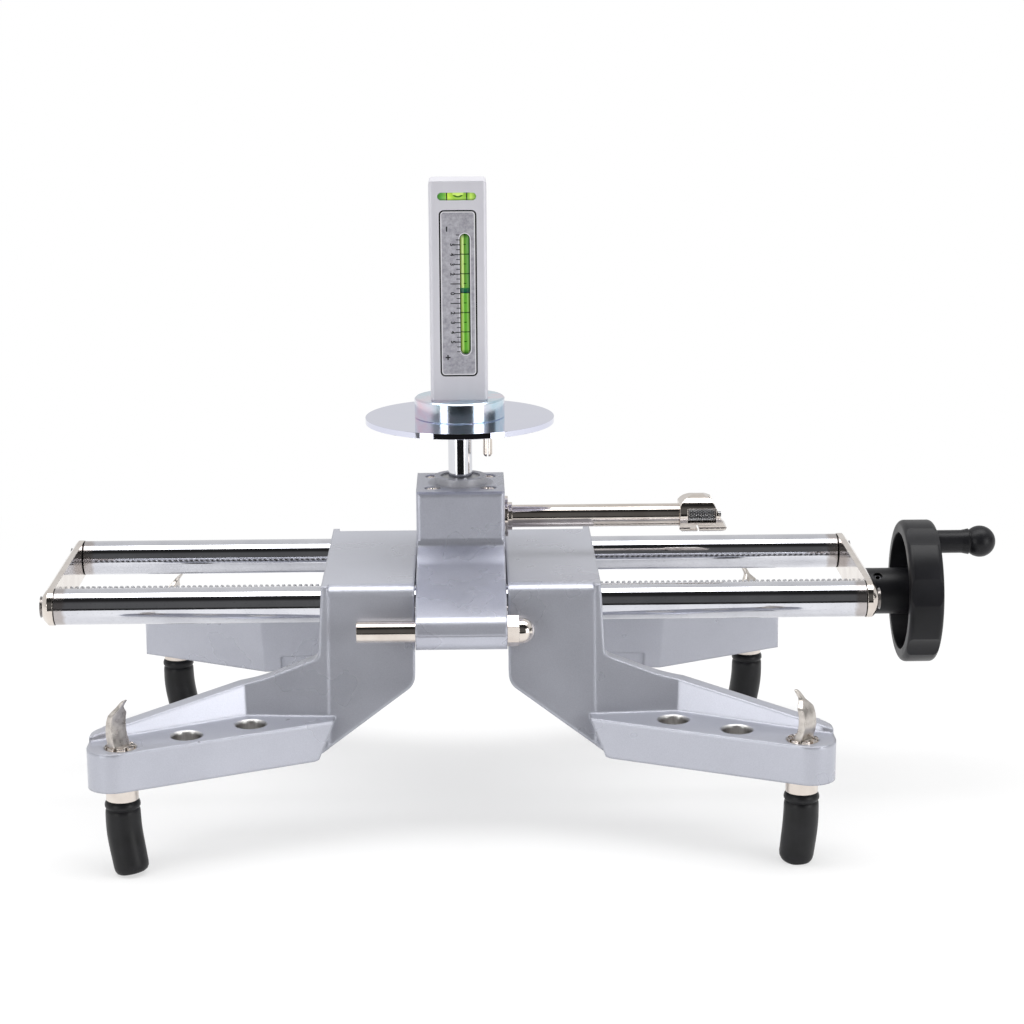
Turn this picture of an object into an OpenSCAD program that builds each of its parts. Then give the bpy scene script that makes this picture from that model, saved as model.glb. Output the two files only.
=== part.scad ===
// Self-centring four-point wheel clamp with a magnetic camber gauge on its spindle.
// It lies wheel side down on its four rubber fingers. Millimetres, +Z up.
// Origin: on the spindle axis, at the level of the surface that the fingers stand on.
// +X points along the guide tubes to the handwheel, -Y to the side with the scale.

/* [Guide tubes] */
// Outside diameter of a guide tube
tube_d = 25; // [22:0.5:28]
// Wall of a guide tube
tube_wall = 3; // [2:0.5:5]
// Distance between the two tube axes
tube_pitch = 139; // [134:1:150]
// Height of the tube axes above the surface
tube_z = 156.5; // [154:0.5:162]
// Length of a tube between the end plates
tube_len = 559; // [520:1:640]

/* [End plates] */
// Thickness of an end plate at the top of its dome
plate_t = 10; // [8:0.5:14]
// Straight rim of an end plate before its dome starts
plate_rim = 4; // [2:0.5:6]
// How far the plate's edge stands out past a tube
plate_edge = 0.5; // [0.5:0.5:3]
// Length of the plugs in the tube ends that take the end screws
plug_len = 16; // [10:1:24]
// Thickness of the end plate's lobe around the lead screw
lobe_t = 7; // [5:0.5:9]
// Radius of that lobe
lobe_r = 15; // [13:0.5:16]

/* [Lead screw] */
// Outside diameter of the screw thread
screw_d = 18; // [14:0.5:20]
// How far the screw axis lies below the tube axes
screw_drop = 13; // [10:0.5:16]
// Diameter of the screw's bearing journals
journal_d = 12; // [10:0.5:13]
// Wall of the bearing bushes in the end plates
bush_wall = 2; // [1.5:0.5:3]
// Outside diameter and length of a lead nut
nut_d = 28; // [26:0.5:30]
nut_len = 46; // [30:1:60]

/* [Centre hub] */
// Width of the hub along the tubes
hub_w = 62; // [56:1:72]
// Height of the hub's top face
hub_top = 226.6; // [215:0.2:240]
// Depth of the hub's upper block, front to back
block_depth = 69.4; // [60:0.2:76]
// Radius of the hollow where the block runs into the shoulder
hollow_r = 15; // [10:1:20]
// Height at which that hollow starts
hollow_z = 192; // [190:1:196]
// Radius of the long curve over the shoulder
shoulder_r = 254; // [200:1:320]
// Radius of the hub's front nose, which holds the short rod
nose_r = 12.5; // [11:0.5:14]
// How far the rod in the nose lies below the tube axes
nose_drop = 10.5; // [8:0.5:14]
// Gap between the nut on that rod and the slider's front wall
nose_gap = 0.9; // [0.5:0.1:3]
// Radius of the hub's rear end
rear_r = 20; // [18:0.5:22]
// Centre of the rear end, behind and below the rear tube's axis
rear_at = [1.9, 5.6]; // [1:0.1:7]
// Radius of the hub's rounded edges
hub_edge = 3; // [1:0.5:5]
// Underside of the hub around the lead screw
hub_floor = 127; // [120:0.5:130]

/* [Spindle] */
// Diameter of the spindle
spindle_d = 17; // [14:0.5:20]
// Diameter of the collar that stands on the hub
collar_d = 37; // [32:0.5:40]
// Height of that collar
collar_h = 5; // [3:0.5:10]
// Diameter of the cartridge flange, let flush into the hub's top
flange_d = 46; // [44:0.5:48]
// Thickness of that flange under the collar
flange_t = 10; // [8:0.5:14]
// Spacing of the four cartridge screws
screw_pitch = 39; // [36:0.5:41]
// Diameter of the round disc that the gauge stands on
disc_d = 133.2; // [110:0.2:150]
// Thickness of the disc
disc_t = 4; // [3:0.5:6]
// Height of the disc's top face
disc_top = 274.4; // [265:0.2:300]

/* [Gauge] */
// Diameter of the magnetic foot
foot_d = 63.5; // [55:0.5:75]
// Height of the magnetic foot
foot_h = 14; // [10:0.5:18]
// Width, depth and height of the gauge body
body_size = [40, 33, 152.8]; // [30:0.2:160]
// Width and height of the recess for the scale plate
recess = [26, 116]; // [20:0.5:120]
// Height of the recess's lower edge above the foot
recess_z = 17; // [10:0.5:20]
// Diameter of the long camber vial
vial_d = 9; // [8:0.2:10]
// Diameter of the short level vial
level_d = 8; // [6:0.2:9]

/* [Sliders] */
// Gap between hub and slider when the clamp is closed
slider_gap = 1; // [0.5:0.5:4]
// Width of a slider's top along the tubes
slider_w = 66; // [60:1:76]
// Height of the slider's top above the tube axes
slider_rise = 16.5; // [16:0.5:20]
// Radius of the slider's long top edges
edge_r = 10; // [8:0.5:14]
// Lean of the slider's walls from upright, in degrees
lean = 12; // [8:0.5:14]
// Thickness of the slider's walls and ribs
wall_t = 13; // [10:0.5:15]
// Thickness of the slider's top
top_t = 8; // [6:0.5:12]
// Wall of the casting around the guide bushes and the lead nut
boss_wall = 3.5; // [3:0.5:5]
// Wall and length of a guide bush
guide_wall = 1.5; // [1:0.5:2]
guide_len = 18; // [12:1:26]

/* [Arms] */
// Top of the shelf that holds the fingers
shelf_z = 86.5; // [80:0.5:92]
// Underside of the arms
arm_floor = 60; // [56:0.5:64]
// Finger position when closed, measured along and across the tubes
finger_at = [224.8, 165.6]; // [150:0.2:240]
// Distance from one finger hole to the next
hole_pitch = 46.9; // [44:0.1:52]
// Direction of the row of holes, in degrees from the tubes
hole_row_a = 29.3; // [28:0.1:31]
// Diameter of a finger hole
hole_d = 20.1; // [18:0.1:22]
// Direction of the shelf's outer edge, in degrees from the tubes
shelf_edge_a = 25.9; // [25:0.1:28]
// Wall between the outermost hole and the shelf's edge
hole_wall = 5; // [4:0.5:8]
// Wall between the outermost hole and the arm's tip
tip_wall = 12; // [10:0.5:16]
// Point at shelf height where the rib leaves the slider's wall
knee = [147, 100]; // [95:1:150]
// Direction of the rib beyond that point, in degrees from the tubes
rib_a = 28.5; // [27:0.5:30]
// Radius of the tip's outer and inner corner
tip_r = [17, 12]; // [8:0.5:18]
// Wall of the shelf around its hollow underside
shelf_wall = 6; // [5:0.5:8]
// Depth of the shelf above its hollow underside
shelf_t = 9; // [7:0.5:14]

/* [Fingers] */
// Diameter of the rubber sleeve at its middle
sleeve_d = 23.2; // [22:0.2:26]
// Bend of the finger's lower half, in degrees
finger_bend = 13; // [0:1:16]
// Height of a claw above its ring
claw_h = 32; // [26:0.5:38]
// Width of a claw at its foot and at its tip
claw_w = [15.6, 3.6]; // [3:0.2:16]
// Direction of each hook when closed: front left, front right, rear left, rear right
claw_turn = [-35, 141, -20, 130]; // [-180:1:180]
// Direction in which each finger bends, in the same order
bend_turn = [-35, 110, -20, 130]; // [-180:1:180]

/* [Rods] */
// Diameter of the long rod
rod_d = 16; // [14:0.5:18]
// Free length of the long rod up to its head
rod_len = 119; // [90:1:140]
// Height of the long rod's axis
rod_z = 201.4; // [199:0.2:204]
// Diameter of the rod's head
head_d = 27.5; // [26:0.5:30]
// Diameter of the short rod
stub_d = 14.5; // [12:0.5:16]
// Free length of the short rod
stub_len = 40; // [20:1:60]

/* [Handwheel] */
// Diameter over the lobes
wheel_d = 102; // [96:1:116]
// Width of the rim
wheel_w = 24; // [18:1:30]
// Number of lobes
lobes = 7; // [5:1:9]
// Depth of the hollows between the lobes
lobe_depth = 2; // [1:0.5:4]
// Diameter of the wheel's hub
wheel_hub_d = 33; // [30:0.5:36]
// Distance of the crank handle from the wheel's axis
crank_r = 36; // [32:0.5:38]
// Diameter and length of the crank's grip
grip = [16.5, 23]; // [14:0.5:30]
// Diameter of the ball at its end
ball_d = 22.5; // [18:0.5:26]

/* [Fits] */
// Radial clearance of a running fit
run = 0.05; // [0.02:0.01:0.1]

/* [Hidden] */

$fn = 64;
smooth = 720;
eps = 0.01;
big = 1000;

// ---- derived sizes -------------------------------------------------------------------
tube_y = tube_pitch / 2;
half_len = tube_len / 2;
screw_z = tube_z - screw_drop;
plate_r = tube_d / 2 + plate_edge;
plate_x = half_len + plate_t;
bush_d = journal_d + 2 * bush_wall;
hub_x = hub_w / 2;
block_y = block_depth / 2;
slider_in = hub_x + slider_gap;
slider_out = slider_in + slider_w;
slider_top = tube_z + slider_rise;

// Unit vector at angle a, and the direction of the vector v
function dir(a) = [cos(a), sin(a)];
function angle(v) = atan2(v[1], v[0]);

// Outside of the slider's wall at the height z
flat_y = tube_y + 7.5;
arc_y = flat_y + edge_r * cos(lean);
arc_z = slider_top - edge_r + edge_r * sin(lean);
function wall_y(z) = arc_y + (arc_z - z) * tan(lean);

// Hub in its side view, as [y towards its end, z]
acorn = [19, 8, 18.7];
acorn_r = acorn[0] / 2 / cos(30);
nose_z = tube_z - nose_drop;
nose_c = [wall_y(nose_z - acorn_r) + acorn_r + nose_gap, nose_z];
rear_c = [tube_y + rear_at[0], tube_z - rear_at[1]];
hollow_c = [block_y + hollow_r, hollow_z];
under_a = 14;

// Centre of the circle of radius r that touches the circle (c0, r0) from outside and
// holds the circle (c1, r1) inside it, on the side below both
function shoulder_c(c0, r0, c1, r1, r) =
    let (d = norm(c1 - c0), u = (c1 - c0) / d, a = r + r0, b = r - r1)
    let (along = (a * a - b * b + d * d) / (2 * d), off = sqrt(a * a - along * along))
    c0 + along * u + off * [u[1], -u[0]];

// ---- small shared shapes -------------------------------------------------------------
// Round bar along X from x0 to x1, on the axis (y, z)
module bar_x(d, x0, x1, y = 0, z = 0) {
    translate([x0, y, z]) rotate([0, 90, 0]) cylinder(d = d, h = x1 - x0);
}

// Tube along X from x0 to x1, on the axis (y, z)
module pipe_x(d, bore, x0, x1, y = 0, z = 0) {
    difference() {
        bar_x(d, x0, x1, y, z);
        bar_x(bore, x0 - 1, x1 + 1, y, z);
    }
}

// Outline in the plane (y, z), pushed along X from x0 to x1
module along_x(x0, x1) {
    translate([x0, 0, 0]) rotate([90, 0, 90]) linear_extrude(x1 - x0) children();
}

// Outline in the plane (x, z), pushed along Y from y0 to y1
module along_y(y0, y1) {
    translate([0, y1, 0]) rotate([90, 0, 0]) linear_extrude(y1 - y0) children();
}

// A shape and its mirror image across the plane x = 0 or y = 0
module both(v) {
    children();
    mirror(v) children();
}

// Points on the arc of radius r around c, from the angle a0 to the angle a1
function arc(c, r, a0, a1) =
    let (n = max(ceil(abs(a1 - a0) / 6), ceil(abs(a1 - a0) * PI / 180 * r / 4)))
    [for (i = [0:n]) c + r * dir(a0 + i * (a1 - a0) / n)];

// Arc that rounds the corner p between the edges that leave it at the angles a and b,
// listed from edge a to edge b, or from b to a where the corner is hollow
function corner_arc(p, a, b, r, hollow = false) =
    let (c = p + r / sin((b - a) / 2) * dir((a + b) / 2))
    hollow ? arc(c, r, b - 270, a - 90) : arc(c, r, a - 90, b - 270);

// Rectangle of size s centred on the origin with corners of radius r
module rounded(s, r) {
    square([s[0] - 2 * r, s[1]], center = true);
    square([s[0], s[1] - 2 * r], center = true);
    for (x = [-1, 1], y = [-1, 1])
        translate([x * (s[0] / 2 - r), y * (s[1] / 2 - r)]) circle(r);
}

// Socket head screw that points down, with its head's seat at z = 0
module socket_screw(d, head_d, head_h, len) {
    socket_d = 0.9 * d;
    difference() {
        union() {
            translate([0, 0, -len]) cylinder(d = d, h = len + eps);
            cylinder(d = head_d, h = head_h);
        }
        translate([0, 0, head_h / 2]) cylinder(d = socket_d, h = head_h, $fn = 6);
    }
}

// ---- centre hub ----------------------------------------------------------------------
// Side view of the hub's flank, front or rear, from the block down to the floor: hollow,
// shoulder and an end of radius r around c, each tangent to the next
function flank(c, r) =
    let (s = shoulder_c(hollow_c, hollow_r, c, r, shoulder_r), a = angle(hollow_c - s))
    let (b = angle(c - s), under = c + r * dir(under_a - 90))
    concat(
        arc([block_y - hub_edge, hub_top - hub_edge], hub_edge, 90, 0),
        arc(hollow_c, hollow_r, 180, 180 + a),
        arc(s, shoulder_r, a, b),
        arc(c, r, b, under_a - 90),
        [[under[0] - (under[1] - hub_floor) / tan(under_a), hub_floor]]);

module hub_outline() {
    front = [for (p = flank(nose_c, nose_r)) [-p[0], p[1]]];
    rear = flank(rear_c, rear_r);
    polygon(concat(front, [for (i = [len(rear) - 1:-1:0]) rear[i]]));
}

// Cutter that rounds an upright edge of the block
module edge_cutter() {
    translate([hub_x - hub_edge, block_y - hub_edge, hollow_z]) difference() {
        cube([hub_edge + 1, hub_edge + 1, hub_top]);
        translate([0, 0, -1]) cylinder(r = hub_edge, h = hub_top + 2);
    }
}

module screw_places() {
    for (x = [-1, 1], y = [-1, 1])
        translate([x * screw_pitch / 2, y * screw_pitch / 2, 0]) children();
}

// Cap screws of the spindle cartridge
cap_d = 6;
cap_head = [10.5, 5];
cap_len = 16;
cap_room = 0.5;
// Grub screws under the tubes
grub_d = 8;
grub_len = 10;
// Hollows under the hub, beside the lead screw
core = [44, 22];
core_y = 35;
core_roof = 166;
// The lead screw passes the hub with this much room around it
screw_room = 1.5;

module centre_hub() {
    color("silver") difference() {
        along_x(-hub_x, hub_x) hub_outline();
        both([1, 0, 0]) both([0, 1, 0]) edge_cutter();
        for (y = [-tube_y, tube_y]) {
            bar_x(tube_d, -hub_x - 1, hub_x + 1, y, tube_z);
            for (x = [-hub_x / 2, hub_x / 2])
                translate([x, y, hub_floor - 1]) cylinder(d = grub_d, h = tube_z - hub_floor);
        }
        bar_x(screw_d + 2 * screw_room, -hub_x - 1, hub_x + 1, 0, screw_z);
        bar_x(stub_d, -hub_x - 1, hub_x + 1, -nose_c[0], nose_c[1]);
        bar_x(rod_spigot[0], hub_x - rod_spigot[1], hub_x + 1, rod_y, rod_z);
        translate([0, 0, hub_top - cartridge_len]) cylinder(d = collar_d, h = cartridge_len + 1);
        translate([0, 0, hub_top - cartridge_len - tail_room])
            cylinder(d = bearing[0], h = tail_room + 1);
        translate([0, 0, hub_top - flange_t]) cylinder(d = flange_d, h = flange_t + 1);
        screw_places() {
            translate([0, 0, hub_top - cap_head[1]])
                cylinder(d = cap_head[0] + 2 * cap_room, h = cap_head[1] + 1);
            translate([0, 0, hub_top - cap_head[1] - cap_len - 2])
                cylinder(d = cap_d, h = cap_len + 3);
        }
        for (y = [-core_y, core_y])
            translate([0, y, hub_floor - 1]) linear_extrude(core_roof - hub_floor + 1)
                rounded(core, 5);
    }
}

module hub_grub_screws() {
    color("dimgray") for (y = [-tube_y, tube_y], x = [-hub_x / 2, hub_x / 2])
        translate([x, y, tube_z - tube_d / 2 - grub_len]) difference() {
            cylinder(d = grub_d, h = grub_len);
            translate([0, 0, -1]) cylinder(d = grub_d * 0.55, h = grub_len * 0.4 + 1, $fn = 6);
        }
}

// ---- guide tubes and end plates ------------------------------------------------------
module guide_tube(y) {
    color("gainsboro")
        pipe_x(tube_d, tube_d - 2 * tube_wall, -half_len, half_len, y, tube_z);
}

module front_tube() {
    guide_tube(-tube_y);
}

module rear_tube() {
    guide_tube(tube_y);
}

// Countersunk screws of the end plates
plate_screw_d = 8;
plate_head = [15, 4.2];

module tube_plugs() {
    color("gray") both([1, 0, 0]) for (y = [-tube_y, tube_y])
        pipe_x(tube_d - 2 * tube_wall, plate_screw_d, half_len - plug_len, half_len, y, tube_z);
}

// Section through an end plate: x is height above its inner face, y runs across.
// The dome is ground flat over crown_cut at its top.
crown_cut = 0.15;

module plate_section() {
    dome = plate_t + crown_cut - plate_rim;
    dome_r = (plate_r * plate_r + dome * dome) / (2 * dome);
    intersection() {
        translate([0, -plate_r]) square([plate_t, 2 * plate_r]);
        translate([plate_t + crown_cut - dome_r, 0]) circle(dome_r, $fn = smooth);
    }
}

module end_plate() {
    web_y = 0.6 * tube_y;
    difference() {
        union() {
            translate([half_len, tube_y, tube_z]) rotate([90, 0, 0])
                linear_extrude(tube_pitch) plate_section();
            both([0, 1, 0]) translate([half_len, tube_y, tube_z]) rotate([0, 90, 0])
                rotate_extrude(angle = 180) intersection() {
                    rotate(90) plate_section();
                    square([plate_r, plate_t + 1]);
                }
            along_x(half_len, half_len + lobe_t) {
                translate([0, screw_z]) circle(lobe_r);
                polygon([[-web_y, tube_z - plate_r + 1], [web_y, tube_z - plate_r + 1],
                         [lobe_r * 0.8, screw_z - lobe_r * 0.6],
                         [-lobe_r * 0.8, screw_z - lobe_r * 0.6]]);
            }
        }
        bar_x(bush_d, half_len - 1, plate_x + 1, 0, screw_z);
        for (y = [-tube_y, tube_y]) {
            bar_x(plate_screw_d + 0.6, half_len - 1, plate_x + 1, y, tube_z);
            translate([plate_x - plate_head[1], y, tube_z]) rotate([0, 90, 0])
                cylinder(d1 = plate_screw_d + 0.6, d2 = plate_head[0], h = plate_head[1] + eps);
        }
        // clearance for the handwheel's hub and the screw's end ring above the lobe
        bar_x(2 * lobe_r, half_len + lobe_t, plate_x + 1, 0, screw_z);
    }
}

module right_end_plate() {
    color("gainsboro") end_plate();
}

module left_end_plate() {
    color("gainsboro") mirror([1, 0, 0]) end_plate();
}

module plate_screws() {
    color("silver") both([1, 0, 0]) for (y = [-tube_y, tube_y])
        translate([plate_x - plate_head[1], y, tube_z]) rotate([0, 90, 0]) difference() {
            union() {
                translate([0, 0, -16]) cylinder(d = plate_screw_d, h = 16 + eps);
                cylinder(d1 = plate_screw_d + 0.6, d2 = plate_head[0], h = plate_head[1] - 0.3);
            }
            translate([0, 0, plate_head[1] - 3]) cylinder(d = 5.8, h = 4, $fn = 6);
        }
}

module screw_bushes() {
    color("darkgoldenrod") both([1, 0, 0])
        pipe_x(bush_d, journal_d + 2 * run, half_len, half_len + lobe_t, 0, screw_z);
}

// ---- spindle and gauge ---------------------------------------------------------------
cartridge_len = 44;
bearing = [28, 8];
// The spindle's foot flange: its width past the spindle, its depth, and its room in the hub
tail = [2, 2];
tail_room = 6;

module spindle_cartridge() {
    color("silver") difference() {
        union() {
            translate([0, 0, hub_top - cartridge_len])
                cylinder(d = collar_d, h = cartridge_len + collar_h);
            translate([0, 0, hub_top - flange_t]) cylinder(d = flange_d, h = flange_t);
        }
        translate([0, 0, hub_top - cartridge_len - 1])
            cylinder(d = spindle_d + 1, h = cartridge_len + collar_h + 2);
        translate([0, 0, hub_top - cartridge_len - 1]) cylinder(d = bearing[0], h = bearing[1] + 1);
        translate([0, 0, hub_top + collar_h - 1 - bearing[1]])
            cylinder(d = bearing[0], h = bearing[1] + 2);
        screw_places() translate([0, 0, hub_top - cap_head[1]])
            cylinder(d = cap_head[0] + 2 * cap_room, h = cap_head[1] + 1);
    }
}

module spindle_bearings() {
    color("darkgray") for (z = [hub_top - cartridge_len, hub_top + collar_h - 1 - bearing[1]])
        translate([0, 0, z]) difference() {
            cylinder(d = bearing[0], h = bearing[1]);
            translate([0, 0, -1]) cylinder(d = spindle_d + 2 * run, h = bearing[1] + 2);
        }
}

module cartridge_screws() {
    color("dimgray") screw_places() translate([0, 0, hub_top - cap_head[1]])
        socket_screw(cap_d, cap_head[0], cap_head[1], cap_len);
}

module spindle() {
    low = hub_top - cartridge_len - tail[1];
    neck = 1;
    color("gainsboro") difference() {
        union() {
            translate([0, 0, low]) cylinder(d = spindle_d, h = disc_top - disc_t - low);
            translate([0, 0, low - tail[1]]) cylinder(d = spindle_d + 2 * tail[0], h = tail[1]);
        }
        translate([0, 0, disc_top - disc_t - 14]) cylinder(d = disc_screw_d, h = 20);
        // groove under the disc
        translate([0, 0, disc_top - disc_t - 3]) difference() {
            cylinder(d = spindle_d + 2, h = 1.5);
            cylinder(d = spindle_d - 2 * neck, h = 4, center = true);
        }
    }
}

disc_screw_d = 8;
disc_head = [15, 3.6];
disc_edge = 0.6;

module gauge_disc() {
    color("gainsboro") translate([0, 0, disc_top - disc_t]) difference() {
        rotate_extrude($fn = 128) polygon([
            [0, 0], [disc_d / 2 - disc_edge, 0], [disc_d / 2, disc_edge],
            [disc_d / 2, disc_t - disc_edge], [disc_d / 2 - disc_edge, disc_t], [0, disc_t]]);
        translate([0, 0, -1]) cylinder(d = disc_screw_d, h = disc_t + 2);
        translate([0, 0, disc_t - disc_head[1]])
            cylinder(d1 = disc_screw_d, d2 = disc_head[0], h = disc_head[1] + eps);
        translate([pin_x, 0, -1]) cylinder(d = pin_d, h = disc_t);
    }
}

// Slotted pin under the disc
pin_x = 19.5;
pin_d = 6.6;
pin_len = 25;

module disc_pin() {
    color("silver") translate([pin_x, 0, disc_top - disc_t - pin_len]) difference() {
        union() {
            cylinder(d1 = pin_d - 2, d2 = pin_d, h = 1.5);
            translate([0, 0, 1.5]) cylinder(d = pin_d, h = pin_len + disc_t - 2.5);
        }
        translate([-0.6, -pin_d, -1]) cube([1.2, 2 * pin_d, 15]);
    }
}

module disc_screw() {
    color("silver") translate([0, 0, disc_top - disc_head[1]]) difference() {
        union() {
            translate([0, 0, -12]) cylinder(d = disc_screw_d, h = 12 + eps);
            cylinder(d1 = disc_screw_d, d2 = disc_head[0], h = disc_head[1]);
        }
        translate([0, 0, disc_head[1] - 2.4]) cylinder(d = 5.8, h = 3, $fn = 6);
    }
}

foot_edge = 1;
foot_bore = [8, 14];
stud_len = 12;
body_z = disc_top + foot_h;

module gauge_foot() {
    color("lightsteelblue") translate([0, 0, disc_top]) difference() {
        rotate_extrude($fn = 128) polygon([
            [0, 0], [foot_d / 2 - foot_edge / 2, 0], [foot_d / 2, foot_edge / 2],
            [foot_d / 2, foot_h - foot_edge], [foot_d / 2 - foot_edge, foot_h], [0, foot_h]]);
        translate([0, 0, -1]) cylinder(d = foot_bore[1], h = 6);
        translate([0, 0, -1]) cylinder(d = foot_bore[0], h = foot_h + 2);
    }
}

module gauge_stud() {
    color("silver") translate([0, 0, disc_top + 1]) difference() {
        union() {
            cylinder(d = foot_bore[1], h = 4);
            cylinder(d = foot_bore[0], h = foot_h - 1 + stud_len);
        }
        translate([0, 0, -1]) cylinder(d = 5.8, h = 3.5, $fn = 6);
    }
}

// Windows in the gauge's front, as [x, z above the foot] of their centres
recess_depth = 1.6;
recess_corner = 3.5;
slot_at = [4.7, 74.4];
slot_size = [6.8, 84];
level_at = [-0.5, body_size[2] - 10.6];
level_size = [26.8, 5.4];
body_edge = 2.5;
plate_thick = 1;
recess_mid = recess_z + recess[1] / 2;

// Slot with round ends, size s, centred on the origin and cut by the height h
module stadium(s) {
    r = min(s[0], s[1]) / 2;
    rounded(s, r - eps);
}

module gauge_front(depth) {
    along_y(-body_size[1] / 2 - 1, -body_size[1] / 2 + depth) children();
}

module gauge_body() {
    color("gainsboro") translate([0, 0, body_z]) difference() {
        intersection() {
            linear_extrude(body_size[2]) rounded([body_size[0], body_size[1]], body_edge);
            along_y(-body_size[1], body_size[1]) translate([0, body_size[2] / 2])
                rounded([body_size[0], body_size[2]], body_edge);
        }
        gauge_front(recess_depth) translate([0, recess_mid]) rounded(recess, recess_corner);
        gauge_front(vial_depth + vial_d / 2) translate(slot_at) stadium(slot_size);
        gauge_front(level_d / 2 + 1) translate(level_at) stadium(level_size);
        translate([slot_at[0], -body_size[1] / 2 + vial_depth, slot_at[1] - vial_len / 2])
            cylinder(d = vial_d, h = vial_len);
        translate([level_at[0] - level_len / 2, 0, 0])
            bar_x(level_d, 0, level_len, -body_size[1] / 2 + level_d / 2 + 1, level_at[1]);
        translate([0, 0, -1]) cylinder(d = foot_bore[0], h = stud_len + 2);
    }
}

module scale_plate() {
    color("silver") translate([0, -body_size[1] / 2 + recess_depth - plate_thick, body_z])
        difference() {
            along_y(0, plate_thick) translate([0, recess_mid]) rounded(recess, recess_corner);
            along_y(-1, plate_thick + 1) translate(slot_at) stadium(slot_size);
        }
}

// The vials lie behind their windows
vial_depth = 7;
vial_len = 92;
level_len = 30;

module camber_vial() {
    color("greenyellow")
        translate([slot_at[0], -body_size[1] / 2 + vial_depth, body_z + slot_at[1] - vial_len / 2])
            cylinder(d = vial_d, h = vial_len);
}

module level_vial() {
    color("greenyellow") translate([level_at[0] - level_len / 2, 0, body_z])
        bar_x(level_d, 0, level_len, -body_size[1] / 2 + level_d / 2 + 1, level_at[1]);
}

// ---- rods on the hub -----------------------------------------------------------------
rod_y = 0;
rod_spigot = [12, 9];
rod_flange_size = [29, 2.5];
rod_collar = [20, 3];
rod_x0 = hub_x + rod_flange_size[1];
rod_x1 = rod_x0 + rod_collar[1] + rod_len;
// Head of the long rod: its length, its rise over the rod and its slanted end
head_len = 33.6;
head_rise = 1.6;
head_top = 17;
head_end = [32, -8];
head_flat = 9.6;
knurl = [10, 20];
knurl_x = 5.5;
jaw_x = 13;

// Head seen from the front: x from its start, z from its own axis
module head_outline() {
    r = head_d / 2;
    shoulder = 12;
    intersection() {
        polygon([[0, -r + 3], [3, -r], [shoulder + head_top, -r], [head_len - 0.6, -r + 2],
                 [head_len, -r + 4.5], head_end, [head_top + 6, r - 3], [head_top, r],
                 [shoulder, r], [0, r]]);
        union() {
            translate([shoulder, 0]) circle(r, $fn = 128);
            translate([shoulder, -r]) square([head_len, 2 * r]);
            translate([0, -r]) square([shoulder, r]);
        }
    }
}

module long_rod() {
    color("gainsboro") {
        bar_x(rod_spigot[0], hub_x - rod_spigot[1], rod_x0 + eps, rod_y, rod_z);
        bar_x(rod_d, rod_x0, rod_x1, rod_y, rod_z);
    }
}

module rod_flange() {
    color("silver") {
        pipe_x(rod_flange_size[0], rod_spigot[0], hub_x, rod_x0, rod_y, rod_z);
        pipe_x(rod_collar[0], rod_d, rod_x0, rod_x0 + rod_collar[1], rod_y, rod_z);
    }
}

module rod_head() {
    color("gainsboro") translate([rod_x1, rod_y, rod_z + head_rise]) difference() {
        intersection() {
            bar_x(head_d, 0, head_len + 1);
            along_y(-head_d, head_d) head_outline();
        }
        // window for the roller
        translate([knurl_x, -head_d, -knurl[0] / 2 - run])
            cube([knurl[1] + 2 * run, head_d, knurl[0] + 2 * run]);
        // seat of the jaw and the pocket behind it
        translate([jaw_x, -head_d, -head_d]) cube([head_len, 2 * head_d, head_d - jaw_top]);
        translate([knurl_x + 2, -head_d, -jaw_top - 4]) cube([jaw_x, 1.5 * head_d, 4]);
        // angled hole
        translate([22, -4, head_flat - 2]) rotate([-35, 0, 0]) cylinder(d = 3.5, h = 20);
        bar_x(knurl_pin_d, knurl_x - 4, knurl_x + knurl[1] + 4, -knurl_y);
    }
}

jaw_top = 7;
knurl_y = 7;
knurl_pin_d = 4;

module rod_jaw() {
    color("silver") translate([rod_x1, rod_y, rod_z + head_rise]) intersection() {
        bar_x(head_d, jaw_x, head_len);
        along_y(-head_d, head_d) head_outline();
        along_y(-head_d, head_d)
            polygon([[jaw_x, -jaw_top], [head_len + 1, -jaw_top], [head_len + 1, -head_d],
                     [jaw_x + 5, -head_d]]);
    }
}

module knurl_pin() {
    color("gray") translate([rod_x1, rod_y, rod_z + head_rise])
        bar_x(knurl_pin_d, knurl_x - 4, knurl_x + knurl[1] + 4, -knurl_y);
}

module knurled_roller() {
    color("gray") translate([rod_x1, rod_y, rod_z + head_rise])
        pipe_x(knurl[0], knurl_pin_d + 2 * run, knurl_x + run, knurl_x + knurl[1] + run, -knurl_y);
}

module short_rod() {
    color("gainsboro")
        bar_x(stub_d, -hub_x - stub_len, hub_x, -nose_c[0], nose_c[1]);
    color("gainsboro")
        bar_x(acorn_bore, hub_x - eps, hub_x + acorn[1], -nose_c[0], nose_c[1]);
}

acorn_bore = 10;

module acorn_nut() {
    dome_r = 0.46 * acorn[0];
    color("silver") translate([hub_x, -nose_c[0], nose_c[1]]) rotate([0, 90, 0]) difference() {
        union() {
            cylinder(r = acorn_r, h = acorn[1], $fn = 6);
            cylinder(r = dome_r, h = acorn[2] - dome_r);
            translate([0, 0, acorn[2] - dome_r]) sphere(dome_r);
        }
        translate([0, 0, -1]) cylinder(d = acorn_bore, h = acorn[1] + 1);
    }
}

// ---- lead screw and handwheel --------------------------------------------------------
end_play = 0.05;
ring_t = 2;
wheel_gap = 0.5;
wheel_hub_len = 48;
wheel_x = plate_x + wheel_gap;
rim_x = wheel_x + 25;
rim_wall = 9;
web_t = 6;
screw_end = wheel_x + wheel_hub_len - 6;
relief_d = screw_d - 2;

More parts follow.
